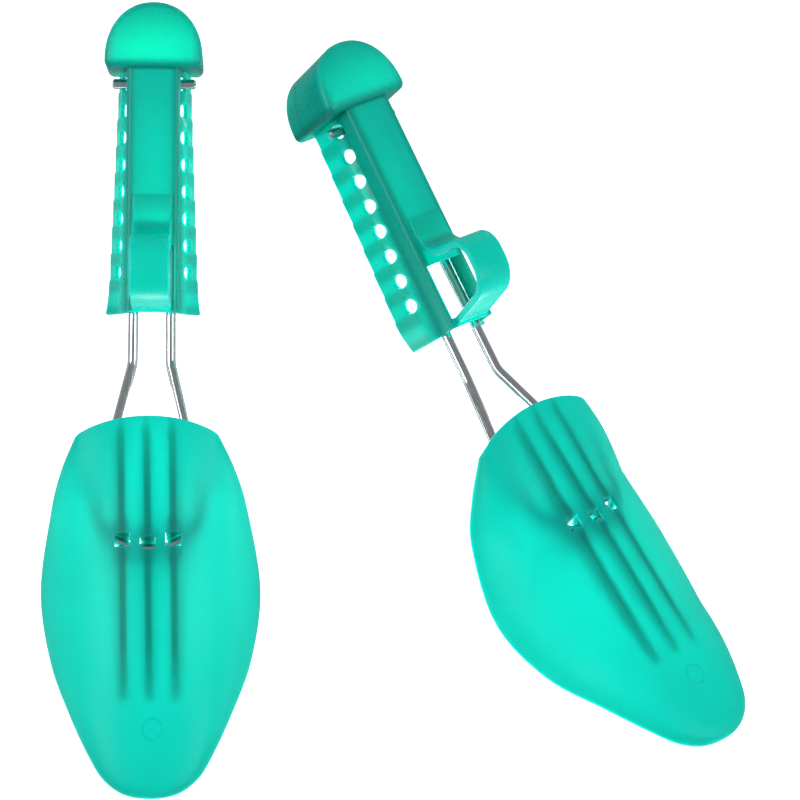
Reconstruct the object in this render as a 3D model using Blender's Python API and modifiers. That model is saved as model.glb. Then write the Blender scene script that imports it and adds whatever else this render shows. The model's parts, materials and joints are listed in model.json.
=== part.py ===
"""A pair of adjustable plastic boot shapers.

Each shaper has a toe form, a bent spring wire and a stem. The stem is one moulding: an inverted channel with
a row of holes along each flange, a finger hook and a heel knob. The wire's two legs run inside the channel and
end in pins that stand out through one hole on each side. At its other end the wire crosses under the toe form,
through three bosses, and the toe form rocks on it.

A shaper is modelled in its own frame: the origin is on the pin line in the first hole, +X is to the side, +Y
points to the heel and +Z to the hook side. The front of the wire and the toe form have a second frame, tilted
up at the kink in the wire's legs, with -Y still towards the toe. One shaper lies flat, the other rolls on to
its side. Sizes are in metres.
"""

import math

import bmesh
import bpy
from mathutils import Matrix, Vector

MM = 0.001

# Spring wire
WIRE_RADIUS = 1.5 * MM
PIN_TIP_X = 12.4 * MM
PIN_CHAMFER = 0.5 * MM
LEG_X_AT_PINS = 4.9 * MM
LEG_X_AT_KINK = 5.65 * MM
KINK_Y = -83.4 * MM
ELBOW_RADIUS = 3.4 * MM
KINK_RADIUS = 9.0 * MM
KINK_RISE = math.radians(15.9)
SHOULDER_X = 14.2 * MM
SHOULDER_Y = -36.0 * MM
SHOULDER_RADIUS = 14.0 * MM
SHOULDER_FLARE = math.radians(2.4)
BAR_REACH = 57.3 * MM
BAR_RADIUS = 20.0 * MM
BAR_HALF_SWEEP = math.radians(23.8)
ARC_STEP = math.radians(13.0)

# Holes along the stem
HOLE_COUNT = 8
HOLE_PITCH = 8.0 * MM
PIN_CLEARANCE = 0.7 * MM
HOLE_SIDES = 12

# Stem channel, outer faces of one side. The row of holes runs along the fold between shoulder and flange,
# and each pitch takes it a step outwards and down.
STEM_WALL = 1.2 * MM
TOP_Z = 8.5 * MM
TOP_CROWN = 0.5 * MM
TOP_CORNER_RADIUS = 1.6 * MM
CHANNEL_HALF_WIDTH = 7.95 * MM
WALL_FOOT_Z = 1.2 * MM
WALL_FOOT_RISE = 0.6 * MM
HOLE_X = 9.4 * MM
HOLE_STEP_OUT = 0.18 * MM
HOLE_STEP_DOWN = 0.48 * MM
FLANGE_FOOT_X = 10.7 * MM
FLANGE_FOOT_Z = -9.3 * MM
FLANGE_STEP_OUT = 0.32 * MM
FLANGE_STEP_DOWN = 0.14 * MM
TOOTH_LENGTH = 0.8 * MM
TOOTH_OFFSET = 2.1 * MM
FRONT_LAND = 12.3 * MM
FRONT_FLARE = 0.9 * MM
FRONT_RISE = 3.4 * MM

# Finger hook, sizes along the stem are measured back from its front end
HOOK_WIDTH = 11.8 * MM
HOOK_THICKNESS = 2.2 * MM
HOOK_EDGE_RADIUS = 0.7 * MM
HOOK_HEIGHT = 21.0 * MM
HOOK_TAIL = 34.0 * MM
HOOK_REAR = 22.6 * MM
HOOK_REAR_LEAN = 1.8 * MM
HOOK_FRONT_TOP = 5.2 * MM
HOOK_FRONT_FOOT = 1.5 * MM
HOOK_RAMP_RADIUS = 8.5 * MM
HOOK_REAR_RADIUS = 6.5 * MM
HOOK_FRONT_RADIUS = 8.0 * MM
HOOK_STEP = math.radians(15.0)
WINDOW_HALF_WIDTH = 6.6 * MM
WINDOW_FRONT_BRIDGE = 2.8 * MM
WINDOW_REAR_GAP = 0.8 * MM

# Heel knob
KNOB_WALL = 1.8 * MM
KNOB_HALF_WIDTH = 14.6 * MM
KNOB_FRONT_Y = 4.3 * MM
KNOB_LENGTH = 19.6 * MM
KNOB_TOP_Z = 10.3 * MM
KNOB_BOTTOM_Z = -14.6 * MM
KNOB_RIM_RADIUS = 2.2 * MM
KNOB_DOME = 0.5 * MM
KNOB_FACE_INSET = 6.5 * MM
KNOB_CORNER_RADIUS = 2.2 * MM
KNOB_FOOT_RADIUS = 0.8 * MM
KNOB_DRAFT = 0.3 * MM
KNOB_LEAN = 1.5 * MM
KNOB_ROUNDNESS = 2.15
KNOB_SIDES = 20

# Toe form in the tilted frame
TOE_WALL = 1.6 * MM
TUNNEL_CLEARANCE = 1.1 * MM
CROWN_OVER_WIRE = 6.1 * MM
RIM_BOW = 4.6 * MM
RIM_BOW_FADE = 14.0 * MM
RIM_CROWN_Z = 14.3 * MM
NOSE_Z = -9.6 * MM
NOSE_RADIUS = 4.6 * MM
ARCH_POWER = 1.8
RIM_ARCH_POWER = 3.0
RIM_ARCH_FADE = 20.0 * MM
NOSE_ARCH_POWER = 2.9
NOSE_ARCH_Y = -90.0 * MM
EDGE_SHAPE = [
    Vector((21.4, -25.2, 6.3)) * MM,
    Vector((25.8, -32.6, -3.4)) * MM,
    Vector((29.2, -42.0, -12.9)) * MM,
    Vector((32.7, -63.5, -22.4)) * MM,
    Vector((29.9, -85.0, -23.1)) * MM,
    Vector((23.4, -103.6, -18.2)) * MM,
    Vector((17.0, -118.3, -15.2)) * MM,
    Vector((0.0, -130.0, -13.9)) * MM,
]
TOE_STATIONS = 28
ARCH_SEGMENTS = 20

# Ribs and bosses under the toe form
RIB_PITCH = 7.5 * MM
RIB_THICKNESS = 2.2 * MM
RIB_DEPTH = 3.6 * MM
RIB_REAR_MARGIN = 1.6 * MM
RIB_FRONT_Y = -103.0 * MM
RIB_STATIONS = 14
BOSS_WIDTH = 4.3 * MM
BOSS_LENGTH = 8.4 * MM
BOSS_TAPER = 3.0 * MM
BOSS_END_SINK = 0.3 * MM
BOSS_FLOOR = 1.4 * MM
WINDOW_LENGTH = 3.9 * MM
WINDOW_WIDTH = 4.6 * MM

# Where the two shapers lie
FLAT_PLACE = Vector((-73.2, 93.0)) * MM
FLAT_TURN = math.radians(-0.46)
FLAT_ROLL = 0.0
ROLLED_PLACE = Vector((-11.6, 80.45)) * MM
ROLLED_TURN = math.radians(25.6)
ROLLED_ROLL = math.radians(31.8)
ROLLED_TOE_YAW = math.radians(4.0)
FLAT_TOE_YAW = math.radians(1.3)

# Colours
TOE_COLOUR = (0.02, 0.72, 0.56, 1.0)
STEM_COLOUR = (0.0, 0.46, 0.34, 1.0)
STEEL_COLOUR = (0.72, 0.73, 0.75, 1.0)


def clear_scene():
    for old in list(bpy.data.objects):
        bpy.data.objects.remove(old, do_unlink=True)


def collection(name):
    made = bpy.data.collections.new(name)
    bpy.context.scene.collection.children.link(made)
    return made


def material(name, colour, roughness, metallic):
    made = bpy.data.materials.new(name)
    made.use_nodes = True
    shader = made.node_tree.nodes["Principled BSDF"]
    shader.inputs["Base Color"].default_value = colour
    shader.inputs["Roughness"].default_value = roughness
    shader.inputs["Metallic"].default_value = metallic
    made.diffuse_color = colour
    return made


def mesh_object(name, bm, home):
    mesh = bpy.data.meshes.new(name)
    bmesh.ops.recalc_face_normals(bm, faces=bm.faces)
    bm.to_mesh(mesh)
    bm.free()
    made = bpy.data.objects.new(name, mesh)
    home.objects.link(made)
    return made


def smooth(made, angle=35.0):
    made.data.shade_smooth()
    made.data.set_sharp_from_angle(angle=math.radians(angle))


def loft(bm, rings, closed):
    """Join rows of points of equal length with quads, and return the rows of vertices."""
    rows = [[bm.verts.new(point) for point in ring] for ring in rings]
    for row, following in zip(rows, rows[1:]):
        count = len(row)
        for i in range(count if closed else count - 1):
            j = (i + 1) % count
            bm.faces.new((row[i], row[j], following[j], following[i]))
    return rows


def fillet_route(corners, radii, step):
    """Straight runs between corners, with an arc of its own radius at each inner corner."""
    points = [corners[0]]
    for before, corner, after, radius in zip(corners, corners[1:], corners[2:], radii):
        into = (corner - before).normalized()
        out = (after - corner).normalized()
        turn = into.angle(out)
        start = corner - into * radius * math.tan(turn / 2)
        centre = corner + (out - into).normalized() * radius / math.cos(turn / 2)
        axis = into.cross(out)
        count = max(2, math.ceil(turn / step))
        for i in range(count + 1):
            points.append(centre + Matrix.Rotation(turn * i / count, 3, axis) @ (start - centre))
    points.append(corners[-1])
    return points


def smooth_point(points, at):
    """A point on the smooth curve through the given points; `at` runs from 0 to their number less one."""
    i = min(int(at), len(points) - 2)
    t = at - i
    p1 = points[i]
    p2 = points[i + 1]
    p0 = points[i - 1] if i > 0 else 2 * p1 - p2
    beyond = Vector((-p1.x, p1.y, p1.z))
    p3 = points[i + 2] if i + 2 < len(points) else beyond
    bend = 2 * p0 - 5 * p1 + 4 * p2 - p3
    swing = 3 * (p1 - p2) + p3 - p0
    return p1 + 0.5 * t * ((p2 - p0) + t * (bend + t * swing))


def modify(target, kind, **settings):
    modifier = target.modifiers.new(kind.title(), kind)
    for key, value in settings.items():
        setattr(modifier, key, value)
    return modifier


def combine(target, other, operation):
    modify(target, "BOOLEAN", operation=operation, solver="EXACT", object=other)


def evaluated_mesh(made):
    """The mesh of an object with its modifiers applied, its loose ends and doubled points joined."""
    bpy.context.view_layer.update()
    graph = bpy.context.evaluated_depsgraph_get()
    mesh = bpy.data.meshes.new_from_object(made.evaluated_get(graph))
    bm = bmesh.new()
    bm.from_mesh(mesh)
    bmesh.ops.remove_doubles(bm, verts=bm.verts, dist=0.005 * MM)
    bm.to_mesh(mesh)
    bm.free()
    return mesh


def baked(made, home):
    """Replace an object by a plain mesh of what it evaluates to."""
    mesh = evaluated_mesh(made)
    name = made.name
    place = made.matrix_world.copy()
    bpy.data.objects.remove(made, do_unlink=True)
    plain = bpy.data.objects.new(name, mesh)
    plain.matrix_world = place
    home.objects.link(plain)
    return plain


def hide_cutter(cutter):
    cutter.hide_render = True
    cutter.display_type = "WIRE"


# Spring wire -----------------------------------------------------------------------------------------------


def lift(x, y):
    """A point of the wire's front plane, y from the kink, in the shaper's frame."""
    return Vector((x, KINK_Y + y * math.cos(KINK_RISE), -y * math.sin(KINK_RISE)))


def bar_arc():
    """The right half of the cross bar in the wire's front plane, from the middle to where the leg starts.

    The bar bends gently towards the toe. A tighter corner arc follows it and ends along the leg, which from
    there widens a little up to its shoulder.
    """
    bar_end_x = BAR_RADIUS * math.sin(BAR_HALF_SWEEP)
    bar_sag = BAR_RADIUS * (1 - math.cos(BAR_HALF_SWEEP))
    flare = math.tan(SHOULDER_FLARE)
    room = SHOULDER_X - flare * (BAR_REACH - bar_sag + SHOULDER_Y) - bar_end_x
    spread = math.cos(SHOULDER_FLARE) - math.sin(BAR_HALF_SWEEP)
    drop = math.cos(BAR_HALF_SWEEP) - math.sin(SHOULDER_FLARE)
    corner_radius = room / (spread - flare * drop)
    points = []
    steps = max(2, math.ceil(BAR_HALF_SWEEP / (ARC_STEP / 2)))
    for i in range(steps):
        angle = BAR_HALF_SWEEP * i / steps
        points.append((BAR_RADIUS * math.sin(angle), -BAR_REACH + BAR_RADIUS * (1 - math.cos(angle))))
    end = math.pi / 2 - SHOULDER_FLARE
    steps = math.ceil((end - BAR_HALF_SWEEP) / ARC_STEP)
    for i in range(steps + 1):
        angle = BAR_HALF_SWEEP + (end - BAR_HALF_SWEEP) * i / steps
        x = bar_end_x + corner_radius * (math.sin(angle) - math.sin(BAR_HALF_SWEEP))
        y = -BAR_REACH + bar_sag + corner_radius * (math.cos(BAR_HALF_SWEEP) - math.cos(angle))
        points.append((x, y))
    return points


def wire_route():
    arc = [lift(x, y) for x, y in bar_arc()]
    pin_tip = Vector((PIN_TIP_X, 0, 0))
    elbow = Vector((LEG_X_AT_PINS, 0, 0))
    kink = Vector((LEG_X_AT_KINK, KINK_Y, 0))
    shoulder = lift(SHOULDER_X, SHOULDER_Y)
    radii = [ELBOW_RADIUS, KINK_RADIUS, SHOULDER_RADIUS]
    half = fillet_route([pin_tip, elbow, kink, shoulder, arc[-1]], radii, ARC_STEP * 1.6)
    half.insert(1, pin_tip - Vector((PIN_CHAMFER, 0, 0)))
    half += reversed(arc[:-1])
    other = [Vector((-p.x, p.y, p.z)) for p in reversed(half[:-1])]
    return half + other


def tube(name, route, radius, home, chamfered=False):
    """A round bar along a route; a chamfered one is drawn in at its ends."""
    data = bpy.data.curves.new(name, "CURVE")
    data.dimensions = "3D"
    data.bevel_depth = radius
    data.bevel_resolution = 2
    data.use_fill_caps = True
    spline = data.splines.new("POLY")
    spline.points.add(len(route) - 1)
    for point, place in zip(spline.points, route):
        point.co = (*place, 1.0)
    if chamfered:
        spline.points[0].radius = 1 - PIN_CHAMFER / radius
        spline.points[-1].radius = 1 - PIN_CHAMFER / radius
    made = bpy.data.objects.new(name, data)
    home.objects.link(made)
    return made


def make_wire(name, home):
    wire = tube(name, wire_route(), WIRE_RADIUS, home, chamfered=True)
    wire = baked(wire, home)
    smooth(wire)
    return wire


# Stem ------------------------------------------------------------------------------------------------------


def stem_front():
    return -(HOLE_COUNT - 1) * HOLE_PITCH - FRONT_LAND


def hole_place(k):
    """Centre of hole k on the right side; k may lie between two holes."""
    return Vector((HOLE_X + HOLE_STEP_OUT * k, -HOLE_PITCH * k, -HOLE_STEP_DOWN * k))


def stem_section(y, teeth, flare):
    """The channel's outer outline at one place, from the left foot over the top to the right foot.

    The flange has taken that many steps outwards, and `flare` is its share of the front end's widening.
    """
    radius = TOP_CORNER_RADIUS
    half = [Vector((0, y, TOP_Z)), Vector((CHANNEL_HALF_WIDTH / 2, y, TOP_Z - TOP_CROWN / 4))]
    for i in range(4):
        angle = math.radians(90 - 30 * i)
        x = CHANNEL_HALF_WIDTH - radius + radius * math.cos(angle)
        z = TOP_Z - TOP_CROWN - radius + radius * math.sin(angle)
        half.append(Vector((x, y, z)))
    along = max(0.0, y / stem_front())
    half.append(Vector((CHANNEL_HALF_WIDTH, y, WALL_FOOT_Z + WALL_FOOT_RISE * along)))
    fold = hole_place(-y / HOLE_PITCH)
    half.append(Vector((HOLE_X + HOLE_STEP_OUT * teeth, y, fold.z)))
    foot_x = FLANGE_FOOT_X + FLANGE_STEP_OUT * teeth + FRONT_FLARE * flare
    foot_z = FLANGE_FOOT_Z - FLANGE_STEP_DOWN * teeth + FRONT_RISE * flare
    half.append(Vector((foot_x, y, foot_z)))
    left = [Vector((-p.x, p.y, p.z)) for p in reversed(half[1:])]
    return left + half


def make_channel(name, home):
    """The channel with its toothed flanges, as an open skin that is given its wall."""
    rear = KNOB_FRONT_Y + KNOB_WALL / 2
    rings = [stem_section(rear, 0, 0)]
    for k in range(HOLE_COUNT):
        tooth = -k * HOLE_PITCH - TOOTH_OFFSET
        rings.append(stem_section(tooth + TOOTH_LENGTH / 2, k, 0))
        rings.append(stem_section(tooth - TOOTH_LENGTH / 2, k + 1, 0))
    last = -(HOLE_COUNT - 1) * HOLE_PITCH - TOOTH_OFFSET - TOOTH_LENGTH / 2
    for share in (0.4, 0.8, 1.0):
        rings.append(stem_section(last + (stem_front() - last) * share, HOLE_COUNT, share ** 2))
    bm = bmesh.new()
    loft(bm, rings, closed=False)
    channel = mesh_object(name, bm, home)
    face_up(channel)
    modify(channel, "SOLIDIFY", thickness=STEM_WALL, offset=-1.0, use_even_offset=True)
    return channel


def face_up(made):
    """Turn an open skin's faces so that the one nearest its top looks up."""
    top = max(made.data.polygons, key=lambda face: face.center.z)
    if top.normal.z < 0:
        made.data.flip_normals()


def knob_outline(inset, z, shift):
    """The knob's D outline at one height: a straight front with rounded corners and a bowed back."""
    half_width = KNOB_HALF_WIDTH - inset
    front = KNOB_FRONT_Y + inset + shift
    radius = max(KNOB_CORNER_RADIUS - inset / 3, KNOB_CORNER_RADIUS / 3)
    shoulder = front + radius
    bow = KNOB_FRONT_Y + KNOB_LENGTH - inset + shift - shoulder
    points = []
    for i in range(4):
        angle = math.radians(-90 + 30 * i)
        points.append((half_width - radius + radius * math.cos(angle), shoulder + radius * math.sin(angle)))
    for i in range(1, KNOB_SIDES // 2):
        angle = math.pi * i / KNOB_SIDES
        power = 2 / KNOB_ROUNDNESS
        points.append((half_width * math.cos(angle) ** power, shoulder + bow * math.sin(angle) ** power))
    half = [Vector((x, y, z)) for x, y in points]
    apex = [Vector((0, shoulder + bow, z))]
    return half + apex + [Vector((-p.x, p.y, p.z)) for p in reversed(half)]


def make_knob(name, home):
    """The knob as an open-bottomed cup with a rounded rim and a nearly flat face."""
    height = KNOB_TOP_Z - KNOB_BOTTOM_Z
    rings = [knob_outline(KNOB_DRAFT + KNOB_FOOT_RADIUS, KNOB_BOTTOM_Z, -KNOB_LEAN)]
    rings.append(knob_outline(KNOB_DRAFT, KNOB_BOTTOM_Z + KNOB_FOOT_RADIUS, -KNOB_LEAN))
    middle = KNOB_BOTTOM_Z + height / 2
    rings.append(knob_outline(KNOB_DRAFT / 2, middle, -KNOB_LEAN / 2))
    for i in range(5):
        angle = math.radians(22.5 * i)
        inset = KNOB_RIM_RADIUS * (1 - math.cos(angle))
        z = KNOB_TOP_Z - KNOB_DOME - KNOB_RIM_RADIUS * (1 - math.sin(angle))
        rings.append(knob_outline(inset, z, 0))
    rings.append(knob_outline(KNOB_FACE_INSET * 0.6, KNOB_TOP_Z - KNOB_DOME * 0.2, 0))
    rings.append(knob_outline(KNOB_FACE_INSET, KNOB_TOP_Z, 0))
    bm = bmesh.new()
    rows = loft(bm, rings, closed=True)
    bm.faces.new(rows[-1])
    knob = mesh_object(name, bm, home)
    face_up(knob)
    modify(knob, "SOLIDIFY", thickness=KNOB_WALL, offset=-1.0, use_even_offset=True)
    return knob


def hook_centre_line():
    """The hook's middle line in the plane of symmetry: up a ramp, over the finger and down to the front lip."""
    front = stem_front()
    floor = TOP_Z - STEM_WALL / 2
    top = TOP_Z + HOOK_HEIGHT - HOOK_THICKNESS / 2
    corners = [
        Vector((0, front + HOOK_TAIL, floor)),
        Vector((0, front + HOOK_REAR, floor)),
        Vector((0, front + HOOK_REAR - HOOK_REAR_LEAN, top)),
        Vector((0, front + HOOK_FRONT_TOP, top)),
        Vector((0, front + HOOK_FRONT_FOOT, TOP_Z - TOP_CROWN - STEM_WALL)),
    ]
    return fillet_route(corners, [HOOK_RAMP_RADIUS, HOOK_REAR_RADIUS, HOOK_FRONT_RADIUS], HOOK_STEP)


def make_hook(name, home):
    """The hook's side outline, cut from a strip and rounded along its edges."""
    line = hook_centre_line()
    outer = []
    inner = []
    for i, point in enumerate(line):
        before = line[max(i - 1, 0)]
        after = line[min(i + 1, len(line) - 1)]
        along = (after - before).normalized()
        across = Vector((0, -along.z, along.y)) * (HOOK_THICKNESS / 2 - HOOK_EDGE_RADIUS)
        outer.append(point + across)
        inner.append(point - across)
    data = bpy.data.curves.new(name, "CURVE")
    data.dimensions = "2D"
    data.fill_mode = "BOTH"
    data.extrude = HOOK_WIDTH / 2 - HOOK_EDGE_RADIUS
    data.bevel_depth = HOOK_EDGE_RADIUS
    data.bevel_resolution = 1
    spline = data.splines.new("POLY")
    outline = outer + inner[::-1]
    spline.points.add(len(outline) - 1)
    for place, point in zip(outline, spline.points):
        point.co = (place.y, place.z, 0, 1)
    spline.use_cyclic_u = True
    hook = bpy.data.objects.new(name, data)
    home.objects.link(hook)
    hook.matrix_world = Matrix(((0, 0, 1, 0), (1, 0, 0, 0), (0, 1, 0, 0), (0, 0, 0, 1)))
    return baked(hook, home)


def box(name, low, high, home):
    bm = bmesh.new()
    size = [h - l for l, h in zip(low, high)]
    middle = [(h + l) / 2 for l, h in zip(low, high)]
    place = Matrix.Translation(middle) @ Matrix.Diagonal((*size, 1))
    bmesh.ops.create_cube(bm, size=1, matrix=place)
    made = mesh_object(name, bm, home)
    hide_cutter(made)
    return made


def row_of_rods(name, home):
    """One cutter for all the pin holes: a rod across the stem at each place of the row."""
    bm = bmesh.new()
    reach = 2 * (FLANGE_FOOT_X + (FLANGE_STEP_OUT + HOLE_STEP_OUT) * HOLE_COUNT)
    for k in range(HOLE_COUNT):
        centre = hole_place(k)
        place = Matrix.Translation((0, centre.y, centre.z)) @ Matrix.Rotation(math.pi / 2, 4, "Y")
        radius = WIRE_RADIUS + PIN_CLEARANCE
        bmesh.ops.create_cone(
            bm, cap_ends=True, segments=HOLE_SIDES, radius1=radius, radius2=radius, depth=reach, matrix=place
        )
    made = mesh_object(name, bm, home)
    hide_cutter(made)
    return made


def make_stem(name, home, cutters):
    stem = baked(make_channel(name, home), home)
    knob = baked(make_knob("knob", cutters), cutters)
    hook = make_hook("hook", cutters)
    front = stem_front()
    window = box(
        "hook_window",
        (-WINDOW_HALF_WIDTH, front + WINDOW_FRONT_BRIDGE, 0),
        (WINDOW_HALF_WIDTH, front + HOOK_REAR - HOOK_REAR_LEAN - WINDOW_REAR_GAP, TOP_Z + STEM_WALL),
        cutters,
    )
    combine(stem, window, "DIFFERENCE")
    combine(stem, row_of_rods("pin_holes", cutters), "DIFFERENCE")
    for part in (knob, hook):
        hide_cutter(part)
        combine(stem, part, "UNION")
    stem = baked(stem, home)
    smooth(stem)
    return stem


# Toe form --------------------------------------------------------------------------------------------------


def crown_z(y):
    """Height of the toe form's ridge: down the instep to the wire, on to the toe, then round the nose."""
    tip = EDGE_SHAPE[-1].y
    rise = RIM_CROWN_Z - CROWN_OVER_WIRE
    rim = EDGE_SHAPE[0].y + RIM_BOW
    if y > -BAR_REACH:
        along = (y + BAR_REACH) / (rim + BAR_REACH)
        slope = (CROWN_OVER_WIRE - NOSE_Z) / (-BAR_REACH - tip) * (rim + BAR_REACH)
        base = CROWN_OVER_WIRE + slope * along + (rise - slope) * along ** 2
    else:
        along = (-BAR_REACH - y) / (-BAR_REACH - tip)
        base = CROWN_OVER_WIRE + (NOSE_Z - CROWN_OVER_WIRE) * along
    reach = y - tip
    if reach >= NOSE_RADIUS:
        return base
    drop = 1 - math.sqrt(max(0.0, 1 - (1 - reach / NOSE_RADIUS) ** 2))
    return base + (EDGE_SHAPE[-1].z - NOSE_Z) * drop


def edge_points(count):
    """Places along the lower edge from the rear corner to the tip, closer together round the nose."""
    last = len(EDGE_SHAPE) - 1
    places = []
    for i in range(count + 1):
        share = math.sin(math.pi / 2 * i / count) ** 0.8
        places.append(smooth_point(EDGE_SHAPE, last * share))
    return places


def arch_power(y):
    """How square the arch is: round over the instep and fuller at the rim and the nose."""
    nose = max(0.0, (NOSE_ARCH_Y - y) / (NOSE_ARCH_Y - EDGE_SHAPE[-1].y))
    rim = min(1.0, max(0.0, 1 - (EDGE_SHAPE[0].y - y) / RIM_ARCH_FADE))
    return ARCH_POWER + (NOSE_ARCH_POWER - ARCH_POWER) * nose + (RIM_ARCH_POWER - ARCH_POWER) * rim


def arch(edge):
    """The outer outline over one place on the edge, an arch from left to right that bows back at the rim."""
    power = arch_power(edge.y)
    bow = RIM_BOW * max(0.0, 1 - (EDGE_SHAPE[0].y - edge.y) / RIM_BOW_FADE)
    points = []
    for i in range(ARCH_SEGMENTS + 1):
        angle = math.pi * i / ARCH_SEGMENTS
        x = math.copysign(abs(math.cos(angle)) ** (2 / power), -math.cos(angle))
        z = math.sin(angle) ** (2 / power)
        y = edge.y + bow * (1 - x ** 2)
        points.append(Vector((edge.x * x, y, edge.z + (crown_z(y) - edge.z) * z)))
    return points


def make_shell(name, home):
    places = edge_points(TOE_STATIONS)
    rings = [arch(place) for place in places[:-1]]
    bm = bmesh.new()
    rows = loft(bm, rings, closed=False)
    tip = bm.verts.new(places[-1])
    for i in range(ARCH_SEGMENTS):
        bm.faces.new((rows[-1][i], rows[-1][i + 1], tip))
    shell = mesh_object(name, bm, home)
    face_up(shell)
    modify(shell, "SOLIDIFY", thickness=TOE_WALL, offset=-1.0, use_even_offset=True)
    return shell


def roof_z(x, y):
    """Height of the toe form's outer face over a place on its underside."""
    low = 0.0
    high = float(len(EDGE_SHAPE) - 1)
    for _ in range(40):
        middle = (low + high) / 2
        if smooth_point(EDGE_SHAPE, middle).y > y:
            low = middle
        else:
            high = middle
    edge = smooth_point(EDGE_SHAPE, low)
    share = min(abs(x) / edge.x, 1.0)
    power = arch_power(y)
    return edge.z + (crown_z(y) - edge.z) * (1 - share ** power) ** (1 / power)


def make_rib(x, home):
    """A stiffening rib under the roof that fades out at both ends."""
    rear = EDGE_SHAPE[0].y + RIM_BOW - RIB_REAR_MARGIN
    rings = []
    for i in range(RIB_STATIONS + 1):
        along = i / RIB_STATIONS
        y = rear + (RIB_FRONT_Y - rear) * along
        depth = RIB_DEPTH * math.sin(math.pi * along) ** 0.6
        ring = []
        for side, fall in ((-1, 0), (1, 0), (1, 1), (-1, 1)):
            px = x + side * RIB_THICKNESS / 2
            pz = roof_z(px, y) - TOE_WALL / 2
            if fall:
                pz -= TOE_WALL / 2 + depth
            ring.append(Vector((px, y, pz)))
        rings.append(ring)
    bm = bmesh.new()
    rows = loft(bm, rings, closed=True)
    bm.faces.new(rows[0])
    bm.faces.new(rows[-1])
    rib = mesh_object("rib", bm, home)
    hide_cutter(rib)
    return rib


def bar_y(x):
    """How far the cross bar's centre lies from the kink at a place to the side."""
    points = bar_arc()
    for (x0, y0), (x1, y1) in zip(points, points[1:]):
        if x <= x1:
            return y0 + (y1 - y0) * (x - x0) / (x1 - x0)
    return points[-1][1]


def make_boss(x, home):
    """A block round the wire, from the roof to below the wire, tapered into the rib at both ends."""
    middle = bar_y(abs(x))
    half_width = BOSS_WIDTH / 2
    bottom = -(WIRE_RADIUS + TUNNEL_CLEARANCE + BOSS_FLOOR)
    rings = []
    lean = abs(bar_y(abs(x) + half_width) - bar_y(max(abs(x) - half_width, 0))) / 2 if x else 0.0
    half = BOSS_LENGTH / 2 + lean
    for reach, narrow, floor in (
        (-half - BOSS_TAPER, True, False),
        (-half, False, True),
        (half, False, True),
        (half + BOSS_TAPER, True, False),
    ):
        y = middle + reach
        width = RIB_THICKNESS / 2 - BOSS_END_SINK if narrow else half_width
        ring = []
        for side, fall in ((-1, 0), (1, 0), (1, 1), (-1, 1)):
            px = x + side * width
            pz = roof_z(px, y) - TOE_WALL / 2
            if fall:
                pz = bottom if floor else pz - TOE_WALL / 2 - RIB_DEPTH / 2
            ring.append(Vector((px, y, pz)))
        rings.append(ring)
    bm = bmesh.new()
    rows = loft(bm, rings, closed=True)
    bm.faces.new(rows[0])
    bm.faces.new(rows[-1])
    boss = mesh_object("boss", bm, home)
    hide_cutter(boss)
    return boss


def make_toe_form(name, home, cutters):
    shell = baked(make_shell(name, home), home)
    for x in (-RIB_PITCH, 0.0, RIB_PITCH):
        stiffener = make_rib(x, cutters)
        combine(stiffener, make_boss(x, cutters), "UNION")
        stiffener = baked(stiffener, cutters)
        hide_cutter(stiffener)
        combine(shell, stiffener, "UNION")
    reach = RIB_PITCH + BOSS_WIDTH
    tunnel_route = [Vector((x, y, 0)) for x, y in bar_arc() if x < reach - WIRE_RADIUS]
    tunnel_route.append(Vector((reach, bar_y(reach), 0)))
    mirrored = [Vector((-p.x, p.y, p.z)) for p in tunnel_route[:0:-1]]
    tunnel = tube("tunnel", mirrored + tunnel_route, WIRE_RADIUS + TUNNEL_CLEARANCE, cutters)
    tunnel = baked(tunnel, cutters)
    hide_cutter(tunnel)
    combine(shell, tunnel, "DIFFERENCE")
    for x in (-RIB_PITCH, 0.0, RIB_PITCH):
        y = bar_y(abs(x))
        low = (x - WINDOW_WIDTH / 2, y - WINDOW_LENGTH / 2, 0)
        high = (x + WINDOW_WIDTH / 2, y + WINDOW_LENGTH / 2, CROWN_OVER_WIRE + TOE_WALL)
        combine(shell, box("boss_window", low, high, cutters), "DIFFERENCE")
    toe = baked(shell, home)
    smooth(toe)
    return toe


# Assembly --------------------------------------------------------------------------------------------------


def hinge_place():
    """The toe form's rocking axis, halfway along the cross bar's bow, in the tilted frame."""
    sag = BAR_RADIUS * (1 - math.cos(BAR_HALF_SWEEP))
    return Vector((0, -BAR_REACH + sag / 2, 0))


def tilted_frame():
    return Matrix.Translation((0, KINK_Y, 0)) @ Matrix.Rotation(-KINK_RISE, 4, "X")


def empty(name, home, parent=None):
    made = bpy.data.objects.new(name, None)
    made.empty_display_size = 10 * MM
    home.objects.link(made)
    made.parent = parent
    return made


def lowest(pieces):
    return min((piece.matrix_world @ v.co).z for piece in pieces for v in piece.data.vertices)


def build_shaper(letter, home, cutters, looks):
    """One shaper on its own empty, and the pieces that belong to it."""
    root = empty(letter + "_shaper", home)
    stem = make_stem(letter + "_stem", home, cutters)
    wire = make_wire(letter + "_spring_wire", home)
    toe = make_toe_form(letter + "_toe_form", home, cutters)
    hinge = empty(letter + "_hinge", home, root)
    hinge.matrix_local = tilted_frame() @ Matrix.Translation(hinge_place())
    toe.data.transform(Matrix.Translation(-hinge_place()))
    toe.parent = hinge
    stem.parent = root
    wire.parent = root
    for piece, look in zip((toe, wire, stem), looks):
        piece.data.materials.clear()
        piece.data.materials.append(look)
    return root, toe, wire, stem


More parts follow.
